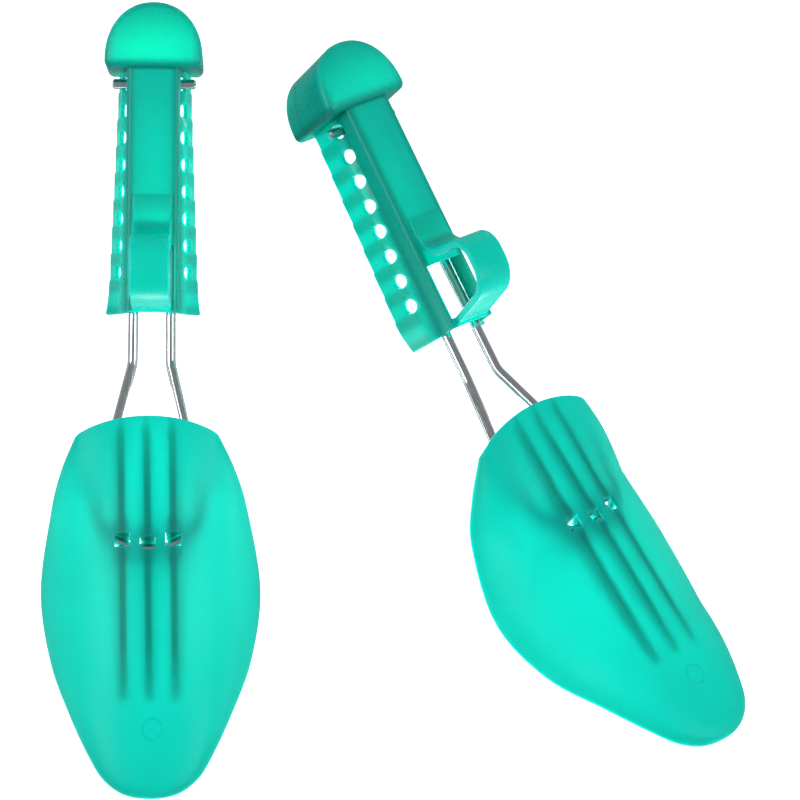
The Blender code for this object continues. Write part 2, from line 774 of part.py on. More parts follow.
def settle(root, toe, stem, place, turn, roll):
    """Lay a shaper down: pitch it until the toe form and the knob both touch the ground."""
    low = math.radians(-20)
    high = math.radians(20)
    for _ in range(40):
        pitch = (low + high) / 2
        turned = Matrix.Rotation(turn, 4, "Z") @ Matrix.Rotation(pitch, 4, "X") @ Matrix.Rotation(roll, 4, "Y")
        root.matrix_world = Matrix.Translation((place.x, place.y, 0)) @ turned
        bpy.context.view_layer.update()
        if lowest([toe]) > lowest([stem]):
            low = pitch
        else:
            high = pitch
    root.location.z -= min(lowest([toe]), lowest([stem]))
    bpy.context.view_layer.update()
    return pitch


def centre_on_ground(roots, pieces):
    """Put the pair's middle over the origin."""
    corners = [piece.matrix_world @ v.co for piece in pieces for v in piece.data.vertices]
    middle_x = (min(c.x for c in corners) + max(c.x for c in corners)) / 2
    middle_y = (min(c.y for c in corners) + max(c.y for c in corners)) / 2
    for root in roots:
        root.location.x -= middle_x
        root.location.y -= middle_y
    bpy.context.view_layer.update()


def main():
    clear_scene()
    parts = collection("boot_shapers")
    cutters = collection("cutters")
    looks_for = {}
    for letter in "ab":
        looks_for[letter] = (
            material(letter + "_toe_plastic", TOE_COLOUR, 0.35, 0.0),
            material(letter + "_steel", STEEL_COLOUR, 0.15, 1.0),
            material(letter + "_stem_plastic", STEM_COLOUR, 0.2, 0.0),
        )
    flat = build_shaper("a", parts, cutters, looks_for["a"])
    rolled = build_shaper("b", parts, cutters, looks_for["b"])
    flat[1].rotation_euler.z = FLAT_TOE_YAW
    rolled[1].rotation_euler.z = ROLLED_TOE_YAW
    settle(flat[0], flat[1], flat[3], FLAT_PLACE, FLAT_TURN, FLAT_ROLL)
    settle(rolled[0], rolled[1], rolled[3], ROLLED_PLACE, ROLLED_TURN, ROLLED_ROLL)
    centre_on_ground([flat[0], rolled[0]], flat[1:] + rolled[1:])
    for cutter in list(cutters.objects):
        hide_cutter(cutter)
    for shaper in (flat, rolled):
        print(shaper[0].name, [round(v / MM, 2) for v in shaper[0].matrix_world.translation])
        for row in shaper[0].matrix_world.to_3x3():
            print("  ", [round(v, 5) for v in row])


main()
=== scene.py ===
"""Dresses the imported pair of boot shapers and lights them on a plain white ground."""

import json
import math

import bmesh
import bpy
from mathutils import Matrix, Vector

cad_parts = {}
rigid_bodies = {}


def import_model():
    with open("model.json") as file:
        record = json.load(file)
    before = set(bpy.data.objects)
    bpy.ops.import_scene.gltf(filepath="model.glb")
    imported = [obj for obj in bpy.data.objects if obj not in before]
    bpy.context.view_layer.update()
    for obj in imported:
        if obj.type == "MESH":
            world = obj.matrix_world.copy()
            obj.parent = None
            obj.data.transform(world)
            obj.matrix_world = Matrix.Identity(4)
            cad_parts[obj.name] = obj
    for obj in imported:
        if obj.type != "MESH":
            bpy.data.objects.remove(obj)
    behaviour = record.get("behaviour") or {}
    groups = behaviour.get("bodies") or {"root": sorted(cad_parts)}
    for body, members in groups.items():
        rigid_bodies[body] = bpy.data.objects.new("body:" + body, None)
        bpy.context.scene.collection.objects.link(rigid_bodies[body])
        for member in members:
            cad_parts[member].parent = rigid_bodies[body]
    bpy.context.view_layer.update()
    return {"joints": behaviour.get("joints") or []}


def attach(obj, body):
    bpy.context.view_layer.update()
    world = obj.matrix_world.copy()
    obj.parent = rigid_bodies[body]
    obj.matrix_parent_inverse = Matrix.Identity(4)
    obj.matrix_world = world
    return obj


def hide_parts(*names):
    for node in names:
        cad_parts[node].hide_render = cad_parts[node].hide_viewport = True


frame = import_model()
scene = bpy.context.scene
MM = 0.001

# The photograph's frame, in pixels, and how many of them a millimetre takes at the ground
FRAME_PX = 800
PX_PER_MM = 3.35

# The camera's distance from the point it looks at, and its tilt from the upright
CAMERA_AWAY = 2236.5 * MM
CAMERA_TILT = math.radians(5.9)
AIM = Vector((3.43, 1.98, 0.0)) * MM

# The camera's sensor in its own millimetres, and the nearest and farthest distance that it sees
SENSOR_WIDTH = 36.0
CLIP_START = 0.1
CLIP_END = 20.0

# How bright the ground is to the camera, to a glossy surface and as light from below
GROUND_WHITE = 1.1
GROUND_GLOSS = 0.1
GROUND_GLOW = 0.5

# The ground's own colour and roughness, and half the length of its side
GROUND_COLOUR = (0.5, 0.5, 0.5)
GROUND_ROUGHNESS = 0.9
GROUND_HALF = 1.6

# Two soft lamps, one on each side of the pair
LAMP_SIZE = 1.2
LAMP_POWER = 14.0
LEFT_LAMP = (-1.4, 0.0, 1.3)
RIGHT_LAMP = (1.4, -0.3, 1.3)

# The grey world, its strength in a glossy surface, and how much stronger still it is to the camera
WORLD_GREY = (0.16, 0.165, 0.17)
WORLD_FOR_GLOSS = 1.5
WORLD_FOR_CAMERA = 5.0

# Light from the ground under each hollow: shaper, hollow, the glow's width and length, and its radiance
GLOWS = (
    ("a", "rim", 56 * MM, 30 * MM, 2.4),
    ("b", "rim", 56 * MM, 30 * MM, 2.4),
    ("a", "toe", 58 * MM, 130 * MM, 2.7),
    ("b", "toe", 54 * MM, 122 * MM, 6.0),
    ("a", "stem", 12 * MM, 68 * MM, 4.2),
    ("a", "knob", 20 * MM, 12 * MM, 24.0),
    ("b", "stem", 12 * MM, 68 * MM, 4.2),
    ("b", "knob", 20 * MM, 12 * MM, 24.0),
)

# Middles of the glows: two in the frame of the wire's tilted front, and a share of the knob's length
RIM_GLOW_MIDDLE = Vector((0, -38 * MM, -6 * MM))
TOE_GLOW_MIDDLE = Vector((0, -71 * MM, -10 * MM))
KNOB_GLOW_SHARE = 0.36

# How high the glows lie over the ground
GLOW_HEIGHT = 1.0 * MM

# Settings of the shader's own sockets, and how far each colour scatters in the plastics
FROSTED = {"Roughness": 0.42, "IOR": 1.49, "Specular_IOR_Level": 0.14, "Subsurface_Scale": 6.0 * MM}
GLOSSY = {"Roughness": 0.3, "IOR": 1.5, "Specular_IOR_Level": 0.25, "Subsurface_Scale": 3.0 * MM}
STEEL = {"Metallic": 1.0, "Roughness": 0.14}
SCATTER = (0.3, 1.0, 0.95)

# Two colours of each surface, and the noise values at which they start
FROSTED_COLOURS = ((0.001, 0.44, 0.38), (0.002, 0.48, 0.41))
GLOSSY_COLOURS = ((0.0, 0.62, 0.51), (0.0, 0.67, 0.55))
PLASTIC_STARTS = (0.3, 0.7)
STEEL_COLOURS = ((0.60, 0.61, 0.63), (0.78, 0.79, 0.81))
STEEL_STARTS = (0.25, 0.6)

# Least and most roughness of each surface, over the middle values of its grain
FROSTED_ROUGHNESS = (0.36, 0.48)
GLOSSY_ROUGHNESS = (0.26, 0.34)
STEEL_ROUGHNESS = (0.09, 0.2)
GRAIN_MIDDLE = (0.3, 0.7)

# Marks of each surface: scale and detail of the noise, and height and strength of its bump
FROSTED_CLOUD = (26.0, 2.0)
FROSTED_WAVES = (140.0, 2.0)
FROSTED_WAVE_BUMP = (0.15 * MM, 0.25)
FROSTED_GRAIN = (2600.0, 2.0)
FROSTED_GRAIN_BUMP = (0.02 * MM, 0.35)
GLOSSY_CLOUD = (34.0, 2.0)
GLOSSY_FLOW = (60.0, 1.0)
GLOSSY_FLOW_BUMP = (0.12 * MM, 0.3)
GLOSSY_GRAIN = (900.0, 2.0)
GLOSSY_GRAIN_BUMP = (0.002 * MM, 0.3)
STEEL_MARKS = (1400.0, 3.0)
STEEL_MARK_BUMP = (0.01 * MM, 0.2)
STEEL_STRETCH = (1.0, 0.06, 0.6)

# Faint moulded ring on the toe form, in the frame of the wire's tilted front
MOULD_RING_MIDDLE = Vector((0.6, -110.9, 0.0)) * MM
MOULD_RING_RADIUS = 3.0 * MM
MOULD_RING_HALF_WIDTH = 0.6 * MM
MOULD_RING_BUMP = (0.12 * MM, 0.8)
MOULD_RING_SHADE = 0.9

# Painted shade over the toe form's ribs, and where it fades beside a rib, towards the nose and towards
# the rim
RIB_PAINTED_SHADE = 0.76
RIB_SHADE_BESIDE = (0.4 * MM, 1.5 * MM)
RIB_SHADE_NOSE = (-103.0 * MM, -82.0 * MM)
RIB_SHADE_RIM = (-43.0 * MM, -27.0 * MM)
RIB_SHARE_AT_RIM = 0.4

# Painted shade and light on the channel: at and away from its folds, and between and at its holes
FOLD_X = 7.4 * MM
FOLD_REACH = 2.6 * MM
FOLD_PAINTED_SHADES = (0.66, 1.04)
HOLE_PAINTED_SHADES = (0.82, 1.12)
HOLE_SHADE_FADE = 0.8 * MM
CHANNEL_END_FADE = 1.0 * MM

# Painted light on the hook: up its height, and along its tail on the channel, up to its sides
HOOK_PAINTED_LIGHT = 1.3
HOOK_SHADE_HEIGHT = 7.0 * MM
HOOK_FOOT_FADE = (0.8 * MM, 2.0 * MM)
TAIL_PAINTED_LIGHT = 1.35
TAIL_FADE = (-9.0 * MM, 0.5 * MM)
TAIL_SIDE_FADE = 0.6 * MM

# Painted light and shade on the knob: from front to back, at its front and sides and below its top; and a
# darker line on its parting line
KNOB_PAINTED_LIGHT_AND_SHADE = (1.18, 0.88)
KNOB_SHADES_START = 4.0 * MM
KNOB_FRONT_PAINTED_SHADE = 0.55
KNOB_SIDE_PAINTED_SHADE = 0.7
KNOB_BAND = 3.4 * MM
KNOB_WALL_PAINTED_SHADE = 0.72
KNOB_WALL_FADE = (-4.0 * MM, -1.4 * MM)
PARTING_Z = -7.8 * MM
PARTING_SHADE = 0.6
PARTING_FADE = (0.1 * MM, 0.35 * MM)

# Meshes: points nearer than this are joined, and edges sharper than this stay sharp
WELD = 0.005 * MM
SHARP_FROM = math.radians(35.0)

# Spring wire
WIRE_RADIUS = 1.5 * MM
PIN_TIP_X = 12.4 * MM
PIN_CHAMFER = 0.5 * MM
LEG_X_AT_PINS = 4.9 * MM
LEG_X_AT_KINK = 5.65 * MM
KINK_Y = -83.4 * MM
ELBOW_RADIUS = 3.4 * MM
KINK_RADIUS = 9.0 * MM
KINK_RISE = math.radians(15.9)
SHOULDER_X = 14.2 * MM
SHOULDER_Y = -36.0 * MM
SHOULDER_RADIUS = 14.0 * MM
SHOULDER_FLARE = math.radians(2.4)
BAR_REACH = 57.3 * MM
BAR_RADIUS = 20.0 * MM
BAR_HALF_SWEEP = math.radians(23.8)
ARC_STEP = math.radians(4.0)
LEG_ARC_STEP = 1.6 * ARC_STEP

# Holes along the stem
HOLE_COUNT = 8
HOLE_PITCH = 8.0 * MM
PIN_CLEARANCE = 0.7 * MM
HOLE_SIDES = 48

# Stem channel, outer faces of one side. The row of holes runs along the fold between shoulder and flange,
# and each pitch takes it a step outwards and down.
STEM_WALL = 1.2 * MM
TOP_Z = 8.5 * MM
TOP_CROWN = 0.5 * MM
TOP_CORNER_RADIUS = 1.6 * MM
CHANNEL_HALF_WIDTH = 7.95 * MM
WALL_FOOT_Z = 1.2 * MM
WALL_FOOT_RISE = 0.6 * MM
HOLE_X = 9.4 * MM
HOLE_STEP_OUT = 0.18 * MM
HOLE_STEP_DOWN = 0.48 * MM
FLANGE_FOOT_X = 10.7 * MM
FLANGE_FOOT_Z = -9.3 * MM
FLANGE_STEP_OUT = 0.32 * MM
FLANGE_STEP_DOWN = 0.14 * MM
TOOTH_LENGTH = 0.8 * MM
TOOTH_OFFSET = 2.1 * MM
FRONT_LAND = 12.3 * MM
FRONT_FLARE = 0.9 * MM
FRONT_RISE = 3.4 * MM

# Where the channel's front end has its sections, as shares of its length
FRONT_SHARES = (0.4, 0.8, 1.0)

# Finger hook, sizes along the stem are measured back from its front end
HOOK_WIDTH = 11.8 * MM
HOOK_THICKNESS = 2.2 * MM
HOOK_EDGE_RADIUS = 0.7 * MM
HOOK_HEIGHT = 21.0 * MM
HOOK_TAIL = 34.0 * MM
HOOK_REAR = 22.6 * MM
HOOK_REAR_LEAN = 1.8 * MM
HOOK_FRONT_TOP = 5.2 * MM
HOOK_FRONT_FOOT = 1.5 * MM
HOOK_RAMP_RADIUS = 8.5 * MM
HOOK_REAR_RADIUS = 6.5 * MM
HOOK_FRONT_RADIUS = 8.0 * MM
HOOK_STEP = math.radians(4.0)
HOOK_EDGE_STEPS = 4
WINDOW_HALF_WIDTH = 6.6 * MM
WINDOW_FRONT_BRIDGE = 2.8 * MM
WINDOW_REAR_GAP = 0.8 * MM

# Heel knob
KNOB_WALL = 1.8 * MM
KNOB_HALF_WIDTH = 14.6 * MM
KNOB_FRONT_Y = 4.3 * MM
KNOB_LENGTH = 19.6 * MM
KNOB_TOP_Z = 10.3 * MM
KNOB_BOTTOM_Z = -14.6 * MM
KNOB_RIM_RADIUS = 2.2 * MM
KNOB_DOME = 0.5 * MM
KNOB_FACE_INSET = 6.5 * MM
KNOB_CORNER_RADIUS = 2.2 * MM
KNOB_FOOT_RADIUS = 0.8 * MM
KNOB_DRAFT = 0.3 * MM
KNOB_LEAN = 1.5 * MM
KNOB_ROUNDNESS = 2.15
KNOB_SIDES = 64

# An outline between the knob's rim and its face, as shares of the face's inset and the dome's height
KNOB_DOME_SHARES = (0.6, 0.2)

# Toe form in the frame of the wire's tilted front
TOE_WALL = 1.6 * MM
TUNNEL_CLEARANCE = 1.1 * MM
CROWN_OVER_WIRE = 6.1 * MM
RIM_BOW = 4.6 * MM
RIM_BOW_FADE = 14.0 * MM
RIM_CROWN_Z = 14.3 * MM
NOSE_Z = -9.6 * MM
NOSE_RADIUS = 4.6 * MM
ARCH_POWER = 1.8
RIM_ARCH_POWER = 3.0
RIM_ARCH_FADE = 20.0 * MM
NOSE_ARCH_POWER = 2.9
NOSE_ARCH_Y = -90.0 * MM
EDGE_SHAPE = [
    Vector((21.4, -25.2, 6.3)) * MM,
    Vector((25.8, -32.6, -3.4)) * MM,
    Vector((29.2, -42.0, -12.9)) * MM,
    Vector((32.7, -63.5, -22.4)) * MM,
    Vector((29.9, -85.0, -23.1)) * MM,
    Vector((23.8, -103.6, -18.2)) * MM,
    Vector((17.4, -118.3, -15.3)) * MM,
    Vector((13.3, -124.6, -14.6)) * MM,
    Vector((7.6, -128.7, -14.1)) * MM,
    Vector((0.0, -130.0, -13.9)) * MM,
]

# Outlines along the shell, how they crowd towards the nose, faces across one, and steps of a search
TOE_STATIONS = 84
NOSE_CROWDING = 0.8
ARCH_SEGMENTS = 72
EDGE_SEARCH_STEPS = 40

# Ribs and bosses under the toe form
RIB_PITCH = 7.5 * MM
RIB_THICKNESS = 2.2 * MM
RIB_DEPTH = 3.6 * MM
RIB_REAR_MARGIN = 1.6 * MM
RIB_FRONT_Y = -103.0 * MM
RIB_STATIONS = 42
RIB_FADE_POWER = 0.6
BOSS_WIDTH = 4.3 * MM
BOSS_LENGTH = 8.4 * MM
BOSS_TAPER = 3.0 * MM
BOSS_END_SINK = 0.3 * MM
BOSS_FLOOR = 1.4 * MM
WINDOW_LENGTH = 3.9 * MM
WINDOW_WIDTH = 4.6 * MM

# Steps round the corners of the stem and the knob, and round the wire and the knob's rim
CORNER_STEPS = 9
ROUND_STEPS = 8

# How far each toe form is turned on its wire
TOE_YAW = {"a": math.radians(1.3), "b": math.radians(4.0)}


# Materials


class Look:
    """A node material under construction."""

    def __init__(self, name, place=None):
        self.made = bpy.data.materials.new(name)
        self.made.use_nodes = True
        self.nodes = self.made.node_tree.nodes
        self.links = self.made.node_tree.links
        self.shader = self.nodes["Principled BSDF"]
        self.place = self.nodes.new("ShaderNodeTexCoord").outputs["Object"]
        if place:
            own = self.nodes.new("ShaderNodeMapping")
            own.vector_type = "TEXTURE"
            own.inputs["Location"].default_value = place.to_translation()
            own.inputs["Rotation"].default_value = place.to_euler()
            self.join(self.place, own.inputs["Vector"])
            self.place = own.outputs["Vector"]

    def set(self, **values):
        for key, value in values.items():
            self.shader.inputs[key.replace("_", " ")].default_value = value

    def join(self, source, target):
        self.links.new(source, target)

    def stretched(self, scale):
        node = self.nodes.new("ShaderNodeMapping")
        node.inputs["Scale"].default_value = scale
        self.join(self.place, node.inputs["Vector"])
        return node.outputs["Vector"]

    def noise(self, scale, detail, place=None):
        node = self.nodes.new("ShaderNodeTexNoise")
        node.inputs["Scale"].default_value = scale
        node.inputs["Detail"].default_value = detail
        self.join(place or self.place, node.inputs["Vector"])
        return node.outputs["Fac"]

    def ramp(self, source, starts, colours):
        """A colour between two, which start at two values of the source."""
        node = self.nodes.new("ShaderNodeValToRGB")
        for element, at, colour in zip(node.color_ramp.elements, starts, colours):
            element.position = at
            element.color = (*colour, 1.0)
        self.join(source, node.inputs["Fac"])
        return node.outputs["Color"]

    def spread(self, source, low, high):
        """The middle values of a grain, spread from low to high."""
        node = self.nodes.new("ShaderNodeMapRange")
        node.inputs["From Min"].default_value = GRAIN_MIDDLE[0]
        node.inputs["From Max"].default_value = GRAIN_MIDDLE[1]
        node.inputs["To Min"].default_value = low
        node.inputs["To Max"].default_value = high
        self.join(source, node.inputs["Value"])
        return node.outputs["Result"]

    def pick(self, switch, off, on):
        """One value or another, by a switch between 0 and 1; either may be a socket."""
        node = self.nodes.new("ShaderNodeMix")
        self.join(switch, node.inputs["Factor"])
        for value, socket in ((off, node.inputs["A"]), (on, node.inputs["B"])):
            if isinstance(value, float):
                socket.default_value = value
            else:
                self.join(value, socket)
        return node.outputs["Result"]

    def own(self, axis):
        """One of the piece's own coordinates."""
        node = self.nodes.new("ShaderNodeSeparateXYZ")
        self.join(self.place, node.inputs["Vector"])
        return node.outputs[axis]

    def reckon(self, operation, source, other=None):
        """The result of one operation, with a number or a socket as its second value."""
        node = self.nodes.new("ShaderNodeMath")
        node.operation = operation
        self.join(source, node.inputs[0])
        if isinstance(other, float):
            node.inputs[1].default_value = other
        elif other:
            self.join(other, node.inputs[1])
        return node.outputs["Value"]

    def apart(self, source, middle):
        """How far the source lies from a value, to either side."""
        return self.reckon("ABSOLUTE", self.reckon("SUBTRACT", source, middle))

    def fade(self, source, start, end, low, high):
        """From low to high, smoothly, while the source goes from start to end."""
        node = self.nodes.new("ShaderNodeMapRange")
        node.interpolation_type = "SMOOTHSTEP"
        for key, value in (("From Min", start), ("From Max", end), ("To Min", low), ("To Max", high)):
            node.inputs[key].default_value = value
        self.join(source, node.inputs["Value"])
        return node.outputs["Result"]

    def shade(self, colour, *factors):
        """The colour, made lighter or darker by each factor."""
        for factor in factors:
            node = self.nodes.new("ShaderNodeVectorMath")
            node.operation = "SCALE"
            self.join(colour, node.inputs[0])
            self.join(factor, node.inputs["Scale"])
            colour = node.outputs["Vector"]
        return colour

    def ring(self, middle, radius, half_width):
        """1 along a ring round an upright axis, 0 beside it."""
        flat = self.nodes.new("ShaderNodeVectorMath")
        flat.operation = "MULTIPLY"
        flat.inputs[1].default_value = (1, 1, 0)
        self.join(self.place, flat.inputs[0])
        away = self.nodes.new("ShaderNodeVectorMath")
        away.operation = "DISTANCE"
        away.inputs[1].default_value = (middle.x, middle.y, 0)
        self.join(flat.outputs["Vector"], away.inputs[0])
        return self.fade(self.apart(away.outputs["Value"], radius), 0.0, half_width, 1.0, 0.0)

    def bump(self, height, distance, strength, under=None):
        node = self.nodes.new("ShaderNodeBump")
        node.inputs["Distance"].default_value = distance
        node.inputs["Strength"].default_value = strength
        self.join(height, node.inputs["Height"])
        if under:
            self.join(under, node.inputs["Normal"])
        return node.outputs["Normal"]


def plastic(name, place, settings):
    """A plastic that light scatters through, before its colours and marks."""
    look = Look(name, place)
    look.set(Subsurface_Weight=1.0, **settings)
    look.shader.inputs["Subsurface Radius"].default_value = SCATTER
    return look


def painted_rib_shade(look):
    """Painted shade over each rib, where the thick plastic would let little light through."""
    side = look.reckon("ABSOLUTE", look.own("X"))
    from_rib = look.reckon("MINIMUM", side, look.apart(side, RIB_PITCH))
    rib = look.fade(from_rib, *RIB_SHADE_BESIDE, RIB_PAINTED_SHADE, 1.0)
    along = look.reckon("ADD", look.own("Y"), hinge_place().y)
    nose_end = look.fade(along, *RIB_SHADE_NOSE, 0.0, 1.0)
    rim_end = look.fade(along, *RIB_SHADE_RIM, 1.0, RIB_SHARE_AT_RIM)
    return look.pick(look.reckon("MULTIPLY", nose_end, rim_end), 1.0, rib)


def frosted_plastic(name, place):
    """The toe form: thin, frosted and translucent, lit from both sides."""
    look = plastic(name, place, FROSTED)
    colour = look.ramp(look.noise(*FROSTED_CLOUD), PLASTIC_STARTS, FROSTED_COLOURS)
    ring = look.ring(MOULD_RING_MIDDLE - hinge_place(), MOULD_RING_RADIUS, MOULD_RING_HALF_WIDTH)
    mark = look.fade(ring, 0.0, 1.0, 1.0, MOULD_RING_SHADE)
    # The base colour carries the painted shade over the ribs and the ring's darker mark.
    look.join(look.shade(colour, mark, painted_rib_shade(look)), look.shader.inputs["Base Color"])
    grain = look.noise(*FROSTED_GRAIN)
    wavy = look.bump(look.noise(*FROSTED_WAVES), *FROSTED_WAVE_BUMP)
    marked = look.bump(ring, *MOULD_RING_BUMP, wavy)
    look.join(look.bump(grain, *FROSTED_GRAIN_BUMP, marked), look.shader.inputs["Normal"])
    look.join(look.spread(grain, *FROSTED_ROUGHNESS), look.shader.inputs["Roughness"])
    return look.made


def channel_painted_light_and_shade(look, side, along, height, in_channel):
    """Painted shade along the channel's folds and between its holes, and painted light on its thin hook
    and the hook's tail.
    """
    below_hook = look.fade(height, TOP_Z + HOOK_FOOT_FADE[0], TOP_Z + HOOK_FOOT_FADE[1], 1.0, 0.0)
    fold = look.fade(look.apart(side, FOLD_X), 0.0, FOLD_REACH, *FOLD_PAINTED_SHADES)
    folds = look.pick(look.reckon("MULTIPLY", in_channel, below_hook), 1.0, fold)
    wave = look.reckon("COSINE", look.reckon("MULTIPLY", along, 2 * math.pi / HOLE_PITCH))
    on_flange = look.fade(side, HOLE_X, HOLE_X + HOLE_SHADE_FADE, 0.0, 1.0)
    row = look.fade(wave, -1.0, 1.0, *HOLE_PAINTED_SHADES)
    holes = look.pick(look.reckon("MULTIPLY", in_channel, on_flange), 1.0, row)
    # Painted light: the hook grows lighter up its height, and its tail is lighter on the channel.
    hook = look.fade(height, TOP_Z, TOP_Z + HOOK_SHADE_HEIGHT, 1.0, HOOK_PAINTED_LIGHT)
    tail_y = stem_front() + HOOK_TAIL
    tail = look.fade(along, tail_y + TAIL_FADE[0], tail_y + TAIL_FADE[1], TAIL_PAINTED_LIGHT, 1.0)
    in_tail = look.fade(side, HOOK_WIDTH / 2 - TAIL_SIDE_FADE, HOOK_WIDTH / 2, 1.0, 0.0)
    tails = look.pick(look.reckon("MULTIPLY", in_tail, below_hook), 1.0, tail)
    return folds, holes, hook, tails


def knob_painted_light_and_shade(look, side, along, height, in_channel):
    """Painted light and shade: a darker band round the knob's lighter top, lighter towards its front and
    darker towards its back, and a darker parting line.
    """
    back_y = KNOB_FRONT_Y + KNOB_LENGTH
    wall_low = KNOB_TOP_Z + KNOB_WALL_FADE[0]
    wall_high = KNOB_TOP_Z + KNOB_WALL_FADE[1]
    shade = look.fade(along, KNOB_FRONT_Y + KNOB_SHADES_START, back_y, *KNOB_PAINTED_LIGHT_AND_SHADE)
    for band in (
        look.fade(along, KNOB_FRONT_Y, KNOB_FRONT_Y + KNOB_BAND, KNOB_FRONT_PAINTED_SHADE, 1.0),
        look.fade(side, KNOB_HALF_WIDTH - KNOB_BAND, KNOB_HALF_WIDTH, 1.0, KNOB_SIDE_PAINTED_SHADE),
        look.fade(height, wall_low, wall_high, KNOB_WALL_PAINTED_SHADE, 1.0),
        look.fade(look.apart(height, PARTING_Z), *PARTING_FADE, PARTING_SHADE, 1.0),
    ):
        shade = look.reckon("MULTIPLY", shade, band)
    return look.pick(in_channel, shade, 1.0)


def glossy_plastic(name, place):
    """The stem: the same resin, thicker and polished, with faint flow marks."""
    look = plastic(name, place, GLOSSY)
    colour = look.ramp(look.noise(*GLOSSY_CLOUD), PLASTIC_STARTS, GLOSSY_COLOURS)
    side = look.reckon("ABSOLUTE", look.own("X"))
    along = look.own("Y")
    height = look.own("Z")
    in_channel = look.fade(along, KNOB_FRONT_Y - CHANNEL_END_FADE, KNOB_FRONT_Y, 1.0, 0.0)
    shades = channel_painted_light_and_shade(look, side, along, height, in_channel)
    knob = knob_painted_light_and_shade(look, side, along, height, in_channel)
    # The base colour carries the painted shade and light of the channel, the hook and the knob.
    look.join(look.shade(colour, *shades, knob), look.shader.inputs["Base Color"])
    grain = look.noise(*GLOSSY_GRAIN)
    wavy = look.bump(look.noise(*GLOSSY_FLOW), *GLOSSY_FLOW_BUMP)
    look.join(look.bump(grain, *GLOSSY_GRAIN_BUMP, wavy), look.shader.inputs["Normal"])
    look.join(look.spread(grain, *GLOSSY_ROUGHNESS), look.shader.inputs["Roughness"])
    return look.made


def bright_wire(name, place):
    """Drawn spring steel: a near mirror with fine marks along the wire."""
    look = Look(name, place)
    look.set(**STEEL)
    marks = look.noise(*STEEL_MARKS, look.stretched(STEEL_STRETCH))
    look.join(look.ramp(marks, STEEL_STARTS, STEEL_COLOURS), look.shader.inputs["Base Color"])
    look.join(look.spread(marks, *STEEL_ROUGHNESS), look.shader.inputs["Roughness"])
    look.join(look.bump(marks, *STEEL_MARK_BUMP), look.shader.inputs["Normal"])
    return look.made


# Mesh tools


def collection(name):
    made = bpy.data.collections.new(name)
    scene.collection.children.link(made)
    return made


def mesh_object(name, bm, home):
    mesh = bpy.data.meshes.new(name)
    bmesh.ops.recalc_face_normals(bm, faces=bm.faces)
    bm.to_mesh(mesh)
    bm.free()
    made = bpy.data.objects.new(name, mesh)
    home.objects.link(made)
    return made


def smooth(made):
    made.data.shade_smooth()
    made.data.set_sharp_from_angle(angle=SHARP_FROM)


def loft(bm, rings, closed):
    """Join rows of points of equal length with quads, and return the rows of vertices."""
    rows = [[bm.verts.new(point) for point in ring] for ring in rings]
    for row, following in zip(rows, rows[1:]):
        count = len(row)
        for i in range(count if closed else count - 1):
            j = (i + 1) % count
            bm.faces.new((row[i], row[j], following[j], following[i]))
    return rows


def fillet_route(corners, radii, step):
    """Straight runs between corners, with an arc of its own radius at each inner corner."""
    points = [corners[0]]
    for before, corner, after, radius in zip(corners, corners[1:], corners[2:], radii):
        into = (corner - before).normalized()
        out = (after - corner).normalized()
        turn = into.angle(out)
        start = corner - into * radius * math.tan(turn / 2)
        centre = corner + (out - into).normalized() * radius / math.cos(turn / 2)
        axis = into.cross(out)
        count = max(2, math.ceil(turn / step))
        for i in range(count + 1):
            points.append(centre + Matrix.Rotation(turn * i / count, 3, axis) @ (start - centre))
    points.append(corners[-1])
    return points


def smooth_point(points, at):
    """A point on the smooth curve through the given points; `at` runs from 0 to their number less one."""
    i = min(int(at), len(points) - 2)
    t = at - i
    p1 = points[i]
    p2 = points[i + 1]
    p0 = points[i - 1] if i > 0 else 2 * p1 - p2
    beyond = Vector((-p1.x, p1.y, p1.z))
    p3 = points[i + 2] if i + 2 < len(points) else beyond
    bend = 2 * p0 - 5 * p1 + 4 * p2 - p3
    swing = 3 * (p1 - p2) + p3 - p0
    return p1 + 0.5 * t * ((p2 - p0) + t * (bend + t * swing))


def capped(name, rings, home):
    """A closed body through rows of points, with a face at both ends."""
    bm = bmesh.new()
    rows = loft(bm, rings, closed=True)
    bm.faces.new(rows[0])
    bm.faces.new(rows[-1])
    return mesh_object(name, bm, home)


def mirrored(points):
    """The same points on the other side, in reverse order."""
    return [Vector((-p.x, p.y, p.z)) for p in reversed(points)]


def modify(target, kind, **settings):
    modifier = target.modifiers.new(kind.title(), kind)
    for key, value in settings.items():
        setattr(modifier, key, value)
    return modifier


def combine(target, other, operation):
    modify(target, "BOOLEAN", operation=operation, solver="EXACT", object=other)


def evaluated_mesh(made):
    """The mesh of an object with its modifiers applied and its doubled points joined."""
    bpy.context.view_layer.update()
    graph = bpy.context.evaluated_depsgraph_get()
    mesh = bpy.data.meshes.new_from_object(made.evaluated_get(graph))
    bm = bmesh.new()
    bm.from_mesh(mesh)
    bmesh.ops.remove_doubles(bm, verts=bm.verts, dist=WELD)
    bm.to_mesh(mesh)
    bm.free()
    return mesh


def baked(made, home):
    """Replace an object by a plain mesh of what it evaluates to."""
    mesh = evaluated_mesh(made)
    name = made.name
    place = made.matrix_world.copy()
    bpy.data.objects.remove(made, do_unlink=True)
    plain = bpy.data.objects.new(name, mesh)
    plain.matrix_world = place
    home.objects.link(plain)
    return plain


# Spring wire


def lift(x, y):
    """A point of the wire's front plane, y from the kink, in the shaper's frame."""
    return Vector((x, KINK_Y + y * math.cos(KINK_RISE), -y * math.sin(KINK_RISE)))


